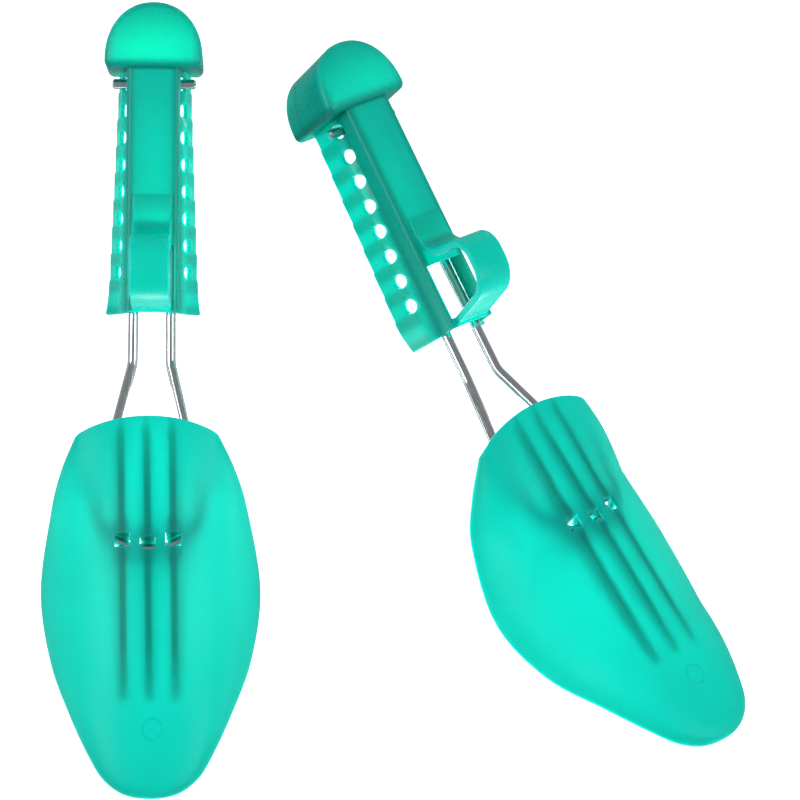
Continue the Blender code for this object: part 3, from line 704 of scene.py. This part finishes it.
def bar_arc():
    """The right half of the cross bar in the wire's front plane, from the middle to where the leg starts.

    The bar bends gently towards the toe. A tighter corner arc follows it and ends along the leg, which
    from there widens a little up to its shoulder.
    """
    bar_end_x = BAR_RADIUS * math.sin(BAR_HALF_SWEEP)
    bar_sag = BAR_RADIUS * (1 - math.cos(BAR_HALF_SWEEP))
    flare = math.tan(SHOULDER_FLARE)
    room = SHOULDER_X - flare * (BAR_REACH - bar_sag + SHOULDER_Y) - bar_end_x
    spread = math.cos(SHOULDER_FLARE) - math.sin(BAR_HALF_SWEEP)
    drop = math.cos(BAR_HALF_SWEEP) - math.sin(SHOULDER_FLARE)
    corner_radius = room / (spread - flare * drop)
    points = []
    steps = max(2, math.ceil(BAR_HALF_SWEEP / (ARC_STEP / 2)))
    for i in range(steps):
        angle = BAR_HALF_SWEEP * i / steps
        points.append((BAR_RADIUS * math.sin(angle), -BAR_REACH + BAR_RADIUS * (1 - math.cos(angle))))
    end = math.pi / 2 - SHOULDER_FLARE
    steps = math.ceil((end - BAR_HALF_SWEEP) / ARC_STEP)
    for i in range(steps + 1):
        angle = BAR_HALF_SWEEP + (end - BAR_HALF_SWEEP) * i / steps
        x = bar_end_x + corner_radius * (math.sin(angle) - math.sin(BAR_HALF_SWEEP))
        y = -BAR_REACH + bar_sag + corner_radius * (math.cos(BAR_HALF_SWEEP) - math.cos(angle))
        points.append((x, y))
    return points


def wire_route():
    arc = [lift(x, y) for x, y in bar_arc()]
    pin_tip = Vector((PIN_TIP_X, 0, 0))
    elbow = Vector((LEG_X_AT_PINS, 0, 0))
    kink = Vector((LEG_X_AT_KINK, KINK_Y, 0))
    shoulder = lift(SHOULDER_X, SHOULDER_Y)
    radii = [ELBOW_RADIUS, KINK_RADIUS, SHOULDER_RADIUS]
    half = fillet_route([pin_tip, elbow, kink, shoulder, arc[-1]], radii, LEG_ARC_STEP)
    half.insert(1, pin_tip - Vector((PIN_CHAMFER, 0, 0)))
    half += reversed(arc[:-1])
    return half + mirrored(half[:-1])


def tube(name, route, radius, home, chamfered=False):
    """A round bar along a route; a chamfered one is drawn in at its ends."""
    data = bpy.data.curves.new(name, "CURVE")
    data.dimensions = "3D"
    data.bevel_depth = radius
    data.bevel_resolution = ROUND_STEPS
    data.use_fill_caps = True
    spline = data.splines.new("POLY")
    spline.points.add(len(route) - 1)
    for point, place in zip(spline.points, route):
        point.co = (*place, 1.0)
    if chamfered:
        spline.points[0].radius = 1 - PIN_CHAMFER / radius
        spline.points[-1].radius = 1 - PIN_CHAMFER / radius
    made = bpy.data.objects.new(name, data)
    home.objects.link(made)
    return made


def make_wire(name, home):
    wire = tube(name, wire_route(), WIRE_RADIUS, home, chamfered=True)
    wire = baked(wire, home)
    smooth(wire)
    return wire


# Stem


def stem_front():
    return -(HOLE_COUNT - 1) * HOLE_PITCH - FRONT_LAND


def hole_place(k):
    """Centre of hole k on the right side; k may lie between two holes."""
    return Vector((HOLE_X + HOLE_STEP_OUT * k, -HOLE_PITCH * k, -HOLE_STEP_DOWN * k))


def stem_section(y, teeth, flare):
    """The channel's outer outline at one place, from the left foot over the top to the right foot.

    The flange has taken that many steps outwards, and `flare` is its share of the front end's widening.
    """
    radius = TOP_CORNER_RADIUS
    half = [Vector((0, y, TOP_Z)), Vector((CHANNEL_HALF_WIDTH / 2, y, TOP_Z - TOP_CROWN / 4))]
    for i in range(CORNER_STEPS + 1):
        angle = math.radians(90) * (1 - i / CORNER_STEPS)
        x = CHANNEL_HALF_WIDTH - radius + radius * math.cos(angle)
        z = TOP_Z - TOP_CROWN - radius + radius * math.sin(angle)
        half.append(Vector((x, y, z)))
    along = max(0.0, y / stem_front())
    half.append(Vector((CHANNEL_HALF_WIDTH, y, WALL_FOOT_Z + WALL_FOOT_RISE * along)))
    fold = hole_place(-y / HOLE_PITCH)
    half.append(Vector((HOLE_X + HOLE_STEP_OUT * teeth, y, fold.z)))
    foot_x = FLANGE_FOOT_X + FLANGE_STEP_OUT * teeth + FRONT_FLARE * flare
    foot_z = FLANGE_FOOT_Z - FLANGE_STEP_DOWN * teeth + FRONT_RISE * flare
    half.append(Vector((foot_x, y, foot_z)))
    return mirrored(half[1:]) + half


def make_channel(name, home):
    """The channel with its toothed flanges, as an open skin that is given its wall."""
    rear = KNOB_FRONT_Y + KNOB_WALL / 2
    rings = [stem_section(rear, 0, 0)]
    for k in range(HOLE_COUNT):
        tooth = -k * HOLE_PITCH - TOOTH_OFFSET
        rings.append(stem_section(tooth + TOOTH_LENGTH / 2, k, 0))
        rings.append(stem_section(tooth - TOOTH_LENGTH / 2, k + 1, 0))
    last = -(HOLE_COUNT - 1) * HOLE_PITCH - TOOTH_OFFSET - TOOTH_LENGTH / 2
    for share in FRONT_SHARES:
        rings.append(stem_section(last + (stem_front() - last) * share, HOLE_COUNT, share ** 2))
    bm = bmesh.new()
    loft(bm, rings, closed=False)
    channel = mesh_object(name, bm, home)
    face_up(channel)
    modify(channel, "SOLIDIFY", thickness=STEM_WALL, offset=-1.0, use_even_offset=True)
    return channel


def face_up(made):
    """Turn an open skin's faces so that the one nearest its top looks up."""
    top = max(made.data.polygons, key=lambda face: face.center.z)
    if top.normal.z < 0:
        made.data.flip_normals()


def knob_outline(inset, z, shift):
    """The knob's D outline at one height: a straight front with rounded corners and a bowed back."""
    half_width = KNOB_HALF_WIDTH - inset
    front = KNOB_FRONT_Y + inset + shift
    radius = max(KNOB_CORNER_RADIUS - inset / 3, KNOB_CORNER_RADIUS / 3)
    shoulder = front + radius
    bow = KNOB_FRONT_Y + KNOB_LENGTH - inset + shift - shoulder
    points = []
    for i in range(CORNER_STEPS + 1):
        angle = math.radians(90) * (i / CORNER_STEPS - 1)
        x = half_width - radius + radius * math.cos(angle)
        points.append((x, shoulder + radius * math.sin(angle)))
    power = 2 / KNOB_ROUNDNESS
    for i in range(1, KNOB_SIDES // 2):
        angle = math.pi * i / KNOB_SIDES
        x = half_width * math.cos(angle) ** power
        points.append((x, shoulder + bow * math.sin(angle) ** power))
    half = [Vector((x, y, z)) for x, y in points]
    apex = [Vector((0, shoulder + bow, z))]
    return half + apex + mirrored(half)


def make_knob(name, home):
    """The knob as an open-bottomed cup with a rounded rim and a nearly flat face."""
    height = KNOB_TOP_Z - KNOB_BOTTOM_Z
    rings = [knob_outline(KNOB_DRAFT + KNOB_FOOT_RADIUS, KNOB_BOTTOM_Z, -KNOB_LEAN)]
    rings.append(knob_outline(KNOB_DRAFT, KNOB_BOTTOM_Z + KNOB_FOOT_RADIUS, -KNOB_LEAN))
    middle = KNOB_BOTTOM_Z + height / 2
    rings.append(knob_outline(KNOB_DRAFT / 2, middle, -KNOB_LEAN / 2))
    for i in range(ROUND_STEPS + 1):
        angle = math.radians(90) * i / ROUND_STEPS
        inset = KNOB_RIM_RADIUS * (1 - math.cos(angle))
        z = KNOB_TOP_Z - KNOB_DOME - KNOB_RIM_RADIUS * (1 - math.sin(angle))
        rings.append(knob_outline(inset, z, 0))
    inset_share, drop_share = KNOB_DOME_SHARES
    rings.append(knob_outline(KNOB_FACE_INSET * inset_share, KNOB_TOP_Z - KNOB_DOME * drop_share, 0))
    rings.append(knob_outline(KNOB_FACE_INSET, KNOB_TOP_Z, 0))
    bm = bmesh.new()
    rows = loft(bm, rings, closed=True)
    bm.faces.new(rows[-1])
    knob = mesh_object(name, bm, home)
    face_up(knob)
    modify(knob, "SOLIDIFY", thickness=KNOB_WALL, offset=-1.0, use_even_offset=True)
    return knob


def hook_centre_line():
    """The hook's middle line, in the plane of symmetry: up a ramp, over the finger, down to the front."""
    front = stem_front()
    floor = TOP_Z - STEM_WALL / 2
    top = TOP_Z + HOOK_HEIGHT - HOOK_THICKNESS / 2
    corners = [
        Vector((0, front + HOOK_TAIL, floor)),
        Vector((0, front + HOOK_REAR, floor)),
        Vector((0, front + HOOK_REAR - HOOK_REAR_LEAN, top)),
        Vector((0, front + HOOK_FRONT_TOP, top)),
        Vector((0, front + HOOK_FRONT_FOOT, TOP_Z - TOP_CROWN - STEM_WALL)),
    ]
    return fillet_route(corners, [HOOK_RAMP_RADIUS, HOOK_REAR_RADIUS, HOOK_FRONT_RADIUS], HOOK_STEP)


def make_hook(name, home):
    """The hook's side outline, cut from a strip and rounded along its edges."""
    line = hook_centre_line()
    outer = []
    inner = []
    for i, point in enumerate(line):
        before = line[max(i - 1, 0)]
        after = line[min(i + 1, len(line) - 1)]
        along = (after - before).normalized()
        across = Vector((0, -along.z, along.y)) * (HOOK_THICKNESS / 2 - HOOK_EDGE_RADIUS)
        outer.append(point + across)
        inner.append(point - across)
    data = bpy.data.curves.new(name, "CURVE")
    data.dimensions = "2D"
    data.fill_mode = "BOTH"
    data.extrude = HOOK_WIDTH / 2 - HOOK_EDGE_RADIUS
    data.bevel_depth = HOOK_EDGE_RADIUS
    data.bevel_resolution = HOOK_EDGE_STEPS
    spline = data.splines.new("POLY")
    outline = outer + inner[::-1]
    spline.points.add(len(outline) - 1)
    for place, point in zip(outline, spline.points):
        point.co = (place.y, place.z, 0, 1)
    spline.use_cyclic_u = True
    hook = bpy.data.objects.new(name, data)
    home.objects.link(hook)
    hook.matrix_world = Matrix(((0, 0, 1, 0), (1, 0, 0, 0), (0, 1, 0, 0), (0, 0, 0, 1)))
    return baked(hook, home)


def box(name, low, high, home):
    bm = bmesh.new()
    size = [h - l for l, h in zip(low, high)]
    middle = [(h + l) / 2 for l, h in zip(low, high)]
    place = Matrix.Translation(middle) @ Matrix.Diagonal((*size, 1))
    bmesh.ops.create_cube(bm, size=1, matrix=place)
    return mesh_object(name, bm, home)


def row_of_rods(name, home):
    """One cutter for all the pin holes: a rod across the stem at each place of the row."""
    bm = bmesh.new()
    reach = 2 * (FLANGE_FOOT_X + (FLANGE_STEP_OUT + HOLE_STEP_OUT) * HOLE_COUNT)
    radius = WIRE_RADIUS + PIN_CLEARANCE
    for k in range(HOLE_COUNT):
        centre = hole_place(k)
        place = Matrix.Translation((0, centre.y, centre.z)) @ Matrix.Rotation(math.pi / 2, 4, "Y")
        bmesh.ops.create_cone(
            bm,
            cap_ends=True,
            segments=HOLE_SIDES,
            radius1=radius,
            radius2=radius,
            depth=reach,
            matrix=place,
        )
    return mesh_object(name, bm, home)


def make_stem(name, home):
    stem = baked(make_channel(name, home), home)
    knob = baked(make_knob("knob", home), home)
    hook = make_hook("hook", home)
    front = stem_front()
    window = box(
        "hook_window",
        (-WINDOW_HALF_WIDTH, front + WINDOW_FRONT_BRIDGE, 0),
        (WINDOW_HALF_WIDTH, front + HOOK_REAR - HOOK_REAR_LEAN - WINDOW_REAR_GAP, TOP_Z + STEM_WALL),
        home,
    )
    combine(stem, window, "DIFFERENCE")
    combine(stem, row_of_rods("pin_holes", home), "DIFFERENCE")
    combine(stem, knob, "UNION")
    combine(stem, hook, "UNION")
    stem = baked(stem, home)
    smooth(stem)
    return stem


# Toe form


def crown_z(y):
    """Height of the toe form's ridge: down the instep to the wire, on to the toe, then round the nose."""
    tip = EDGE_SHAPE[-1].y
    rise = RIM_CROWN_Z - CROWN_OVER_WIRE
    rim = EDGE_SHAPE[0].y + RIM_BOW
    if y > -BAR_REACH:
        along = (y + BAR_REACH) / (rim + BAR_REACH)
        slope = (CROWN_OVER_WIRE - NOSE_Z) / (-BAR_REACH - tip) * (rim + BAR_REACH)
        base = CROWN_OVER_WIRE + slope * along + (rise - slope) * along ** 2
    else:
        along = (-BAR_REACH - y) / (-BAR_REACH - tip)
        base = CROWN_OVER_WIRE + (NOSE_Z - CROWN_OVER_WIRE) * along
    reach = y - tip
    if reach >= NOSE_RADIUS:
        return base
    drop = 1 - math.sqrt(max(0.0, 1 - (1 - reach / NOSE_RADIUS) ** 2))
    return base + (EDGE_SHAPE[-1].z - NOSE_Z) * drop


def edge_points(count):
    """Places along the lower edge from the rear corner to the tip, closer together round the nose."""
    last = len(EDGE_SHAPE) - 1
    places = []
    for i in range(count + 1):
        share = math.sin(math.pi / 2 * i / count) ** NOSE_CROWDING
        places.append(smooth_point(EDGE_SHAPE, last * share))
    return places


def arch_power(y):
    """How square the arch is: round over the instep and fuller at the rim and the nose."""
    nose = max(0.0, (NOSE_ARCH_Y - y) / (NOSE_ARCH_Y - EDGE_SHAPE[-1].y))
    rim = min(1.0, max(0.0, 1 - (EDGE_SHAPE[0].y - y) / RIM_ARCH_FADE))
    return ARCH_POWER + (NOSE_ARCH_POWER - ARCH_POWER) * nose + (RIM_ARCH_POWER - ARCH_POWER) * rim


def arch(edge):
    """The outline over one place on the edge: an arch from left to right that bows back at the rim."""
    power = arch_power(edge.y)
    bow = RIM_BOW * max(0.0, 1 - (EDGE_SHAPE[0].y - edge.y) / RIM_BOW_FADE)
    points = []
    for i in range(ARCH_SEGMENTS + 1):
        angle = math.pi * i / ARCH_SEGMENTS
        x = math.copysign(abs(math.cos(angle)) ** (2 / power), -math.cos(angle))
        z = math.sin(angle) ** (2 / power)
        y = edge.y + bow * (1 - x ** 2)
        points.append(Vector((edge.x * x, y, edge.z + (crown_z(y) - edge.z) * z)))
    return points


def make_shell(name, home):
    places = edge_points(TOE_STATIONS)
    rings = [arch(place) for place in places[:-1]]
    bm = bmesh.new()
    rows = loft(bm, rings, closed=False)
    tip = bm.verts.new(places[-1])
    for i in range(ARCH_SEGMENTS):
        bm.faces.new((rows[-1][i], rows[-1][i + 1], tip))
    shell = mesh_object(name, bm, home)
    face_up(shell)
    modify(shell, "SOLIDIFY", thickness=TOE_WALL, offset=-1.0, use_even_offset=True)
    return shell


def roof_z(x, y):
    """Height of the toe form's outer face over a place on its underside."""
    low = 0.0
    high = float(len(EDGE_SHAPE) - 1)
    for _ in range(EDGE_SEARCH_STEPS):
        middle = (low + high) / 2
        if smooth_point(EDGE_SHAPE, middle).y > y:
            low = middle
        else:
            high = middle
    edge = smooth_point(EDGE_SHAPE, low)
    share = min(abs(x) / edge.x, 1.0)
    power = arch_power(y)
    return edge.z + (crown_z(y) - edge.z) * (1 - share ** power) ** (1 / power)


def make_rib(x, home):
    """A stiffening rib under the roof that fades out at both ends."""
    rear = EDGE_SHAPE[0].y + RIM_BOW - RIB_REAR_MARGIN
    rings = []
    for i in range(RIB_STATIONS + 1):
        along = i / RIB_STATIONS
        y = rear + (RIB_FRONT_Y - rear) * along
        depth = RIB_DEPTH * math.sin(math.pi * along) ** RIB_FADE_POWER
        ring = []
        for side, fall in ((-1, 0), (1, 0), (1, 1), (-1, 1)):
            px = x + side * RIB_THICKNESS / 2
            pz = roof_z(px, y) - TOE_WALL / 2
            if fall:
                pz -= TOE_WALL / 2 + depth
            ring.append(Vector((px, y, pz)))
        rings.append(ring)
    return capped("rib", rings, home)


def bar_y(x):
    """How far the cross bar's centre lies from the kink at a place to the side."""
    points = bar_arc()
    for (x0, y0), (x1, y1) in zip(points, points[1:]):
        if x <= x1:
            return y0 + (y1 - y0) * (x - x0) / (x1 - x0)
    return points[-1][1]


def make_boss(x, home):
    """A block round the wire, from the roof to below the wire, tapered into the rib at both ends."""
    middle = bar_y(abs(x))
    half_width = BOSS_WIDTH / 2
    bottom = -(WIRE_RADIUS + TUNNEL_CLEARANCE + BOSS_FLOOR)
    rings = []
    outer_y = bar_y(abs(x) + half_width)
    inner_y = bar_y(max(abs(x) - half_width, 0))
    lean = abs(outer_y - inner_y) / 2 if x else 0.0
    half = BOSS_LENGTH / 2 + lean
    for reach, narrow, floor in (
        (-half - BOSS_TAPER, True, False),
        (-half, False, True),
        (half, False, True),
        (half + BOSS_TAPER, True, False),
    ):
        y = middle + reach
        width = RIB_THICKNESS / 2 - BOSS_END_SINK if narrow else half_width
        ring = []
        for side, fall in ((-1, 0), (1, 0), (1, 1), (-1, 1)):
            px = x + side * width
            pz = roof_z(px, y) - TOE_WALL / 2
            if fall:
                pz = bottom if floor else pz - TOE_WALL / 2 - RIB_DEPTH / 2
            ring.append(Vector((px, y, pz)))
        rings.append(ring)
    return capped("boss", rings, home)


def make_toe_form(name, home):
    shell = baked(make_shell(name, home), home)
    for x in (-RIB_PITCH, 0.0, RIB_PITCH):
        stiffener = make_rib(x, home)
        combine(stiffener, make_boss(x, home), "UNION")
        combine(shell, baked(stiffener, home), "UNION")
    reach = RIB_PITCH + BOSS_WIDTH
    half = [Vector((x, y, 0)) for x, y in bar_arc() if x < reach - WIRE_RADIUS]
    half.append(Vector((reach, bar_y(reach), 0)))
    tunnel = tube("tunnel", mirrored(half[1:]) + half, WIRE_RADIUS + TUNNEL_CLEARANCE, home)
    combine(shell, baked(tunnel, home), "DIFFERENCE")
    for x in (-RIB_PITCH, 0.0, RIB_PITCH):
        y = bar_y(abs(x))
        low = (x - WINDOW_WIDTH / 2, y - WINDOW_LENGTH / 2, 0)
        high = (x + WINDOW_WIDTH / 2, y + WINDOW_LENGTH / 2, CROWN_OVER_WIRE + TOE_WALL)
        combine(shell, box("boss_window", low, high, home), "DIFFERENCE")
    toe = baked(shell, home)
    smooth(toe)
    return toe


def hinge_place():
    """The toe form's rocking axis, halfway along the cross bar's bow, in the tilted frame."""
    sag = BAR_RADIUS * (1 - math.cos(BAR_HALF_SWEEP))
    return Vector((0, -BAR_REACH + sag / 2, 0))


def tilted_frame():
    return Matrix.Translation((0, KINK_Y, 0)) @ Matrix.Rotation(-KINK_RISE, 4, "X")


# The pair in place


def joint(name):
    return next(found for found in frame["joints"] if found["name"] == name)


def seat(letter):
    """Where a shaper's own frame lies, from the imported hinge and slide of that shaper."""
    hinge = joint(letter + "_toe_rock")
    side = Vector(hinge["axis"]).normalized()
    along_holes = Vector(joint(letter + "_stem_slide")["axis"]).normalized()
    up_from_holes = side.cross(along_holes).normalized()
    slope = math.atan2(HOLE_STEP_DOWN, HOLE_PITCH)
    heel = along_holes * math.cos(slope) - up_from_holes * math.sin(slope)
    turned = Matrix((side, heel, side.cross(heel))).transposed().to_4x4()
    middle = turned @ tilted_frame() @ hinge_place()
    return Matrix.Translation(Vector(hinge["pos_m"]) - middle) @ turned


def put(made, node, body, place, look):
    """A finished piece in the place of its plain solid."""
    made.data.transform(place)
    made.data.materials.clear()
    made.data.materials.append(look(made.name, place))
    scene.collection.objects.link(made)
    bench.objects.unlink(made)
    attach(made, body)
    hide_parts(node)


def furnish(letter):
    """Build the three pieces of one shaper, and clear the bench of what cut and joined them."""
    place = seat(letter)
    wire = make_wire(letter + "_bright_wire", bench)
    stem = make_stem(letter + "_glossy_stem", bench)
    toe = make_toe_form(letter + "_frosted_toe_form", bench)
    toe.data.transform(Matrix.Translation(-hinge_place()))
    yaw = Matrix.Rotation(TOE_YAW[letter], 4, "Z")
    on_hinge = place @ tilted_frame() @ Matrix.Translation(hinge_place()) @ yaw
    put(wire, letter + "_spring_wire", "spring_wires", place, bright_wire)
    put(stem, letter + "_stem", letter + "_stem_body", place, glossy_plastic)
    put(toe, letter + "_toe_form", letter + "_toe", on_hinge, frosted_plastic)
    for tool in list(bench.objects):
        bpy.data.objects.remove(tool, do_unlink=True)


bench = collection("bench")
for letter in "ab":
    furnish(letter)
scene.collection.children.unlink(bench)
bpy.data.collections.remove(bench)


# Ground, light and camera


def ground():
    """A plain pale floor, brighter to the camera than as a light on the pair."""
    mesh = bpy.data.meshes.new("ground")
    corners = [(x * GROUND_HALF, y * GROUND_HALF, 0) for x, y in ((-1, -1), (1, -1), (1, 1), (-1, 1))]
    mesh.from_pydata(corners, [], [(0, 1, 2, 3)])
    made = bpy.data.objects.new("ground", mesh)
    scene.collection.objects.link(made)
    look = Look("white_ground")
    look.set(Roughness=GROUND_ROUGHNESS)
    look.shader.inputs["Base Color"].default_value = (*GROUND_COLOUR, 1.0)
    look.shader.inputs["Emission Color"].default_value = (1.0, 1.0, 1.0, 1.0)
    path = look.nodes.new("ShaderNodeLightPath").outputs
    unseen = look.pick(path["Is Glossy Ray"], GROUND_GLOW, GROUND_GLOSS)
    seen = look.pick(path["Is Camera Ray"], unseen, GROUND_WHITE)
    look.join(seen, look.shader.inputs["Emission Strength"])
    mesh.materials.append(look.made)


def softbox(name, place):
    """A round soft lamp that looks at the middle of the pair."""
    data = bpy.data.lights.new(name, "AREA")
    data.shape = "DISK"
    data.size = LAMP_SIZE
    data.energy = LAMP_POWER
    made = bpy.data.objects.new(name, data)
    made.location = place
    made.rotation_euler = (-Vector(place)).to_track_quat("-Z", "Y").to_euler()
    scene.collection.objects.link(made)


def underglow(name, place, middle, width, length, radiance):
    """Light from the bright ground under one hollow; its middle is in the shaper's own frame."""
    spot = place @ middle
    heel = place.to_3x3() @ Vector((0, 1, 0))
    data = bpy.data.lights.new(name, "AREA")
    data.shape = "ELLIPSE"
    data.size = width
    data.size_y = length
    area = math.pi / 4 * data.size * data.size_y
    data.energy = radiance * math.pi * area
    made = bpy.data.objects.new(name, data)
    made.location = (spot.x, spot.y, GLOW_HEIGHT)
    made.rotation_euler = (math.pi, 0, math.atan2(-heel.x, heel.y))
    scene.collection.objects.link(made)


def camera():
    """The photograph's view, from above and a little from the toes' side."""
    data = bpy.data.cameras.new("camera")
    data.sensor_fit = "HORIZONTAL"
    data.sensor_width = SENSOR_WIDTH
    data.lens = data.sensor_width * (PX_PER_MM / MM) * CAMERA_AWAY / FRAME_PX
    data.clip_start = CLIP_START
    data.clip_end = CLIP_END
    made = bpy.data.objects.new("camera", data)
    turn = Matrix.Rotation(CAMERA_TILT, 4, "X")
    made.matrix_world = Matrix.Translation(AIM) @ turn @ Matrix.Translation((0, 0, CAMERA_AWAY))
    scene.collection.objects.link(made)
    scene.camera = made


def surroundings():
    """A grey world that is brighter in glossy surfaces and pale to the camera."""
    world = bpy.data.worlds.new("world")
    scene.world = world
    world.use_nodes = True
    tree = world.node_tree
    backdrop = tree.nodes["Background"]
    backdrop.inputs["Color"].default_value = (*WORLD_GREY, 1.0)
    ray = tree.nodes.new("ShaderNodeLightPath").outputs
    for_gloss = tree.nodes.new("ShaderNodeMapRange")
    for_gloss.inputs["To Min"].default_value = 1.0
    for_gloss.inputs["To Max"].default_value = WORLD_FOR_GLOSS
    for_camera = tree.nodes.new("ShaderNodeMath")
    for_camera.operation = "MULTIPLY_ADD"
    for_camera.inputs[1].default_value = WORLD_FOR_CAMERA
    tree.links.new(ray["Is Glossy Ray"], for_gloss.inputs["Value"])
    tree.links.new(ray["Is Camera Ray"], for_camera.inputs[0])
    tree.links.new(for_gloss.outputs["Result"], for_camera.inputs[2])
    tree.links.new(for_camera.outputs["Value"], backdrop.inputs["Strength"])


def light():
    """Two soft lamps, and light from the ground under each hollow."""
    softbox("left_light", LEFT_LAMP)
    softbox("right_light", RIGHT_LAMP)
    middles = {
        "rim": tilted_frame() @ RIM_GLOW_MIDDLE,
        "toe": tilted_frame() @ TOE_GLOW_MIDDLE,
        "stem": Vector((0, stem_front() / 2, 0)),
        "knob": Vector((0, KNOB_FRONT_Y + KNOB_LENGTH * KNOB_GLOW_SHARE, 0)),
    }
    for letter, hollow, width, length, radiance in GLOWS:
        underglow(f"{letter}_{hollow}_glow", seat(letter), middles[hollow], width, length, radiance)


ground()
light()
camera()
surroundings()
scene.view_settings.view_transform = "Standard"
scene.view_settings.look = "None"
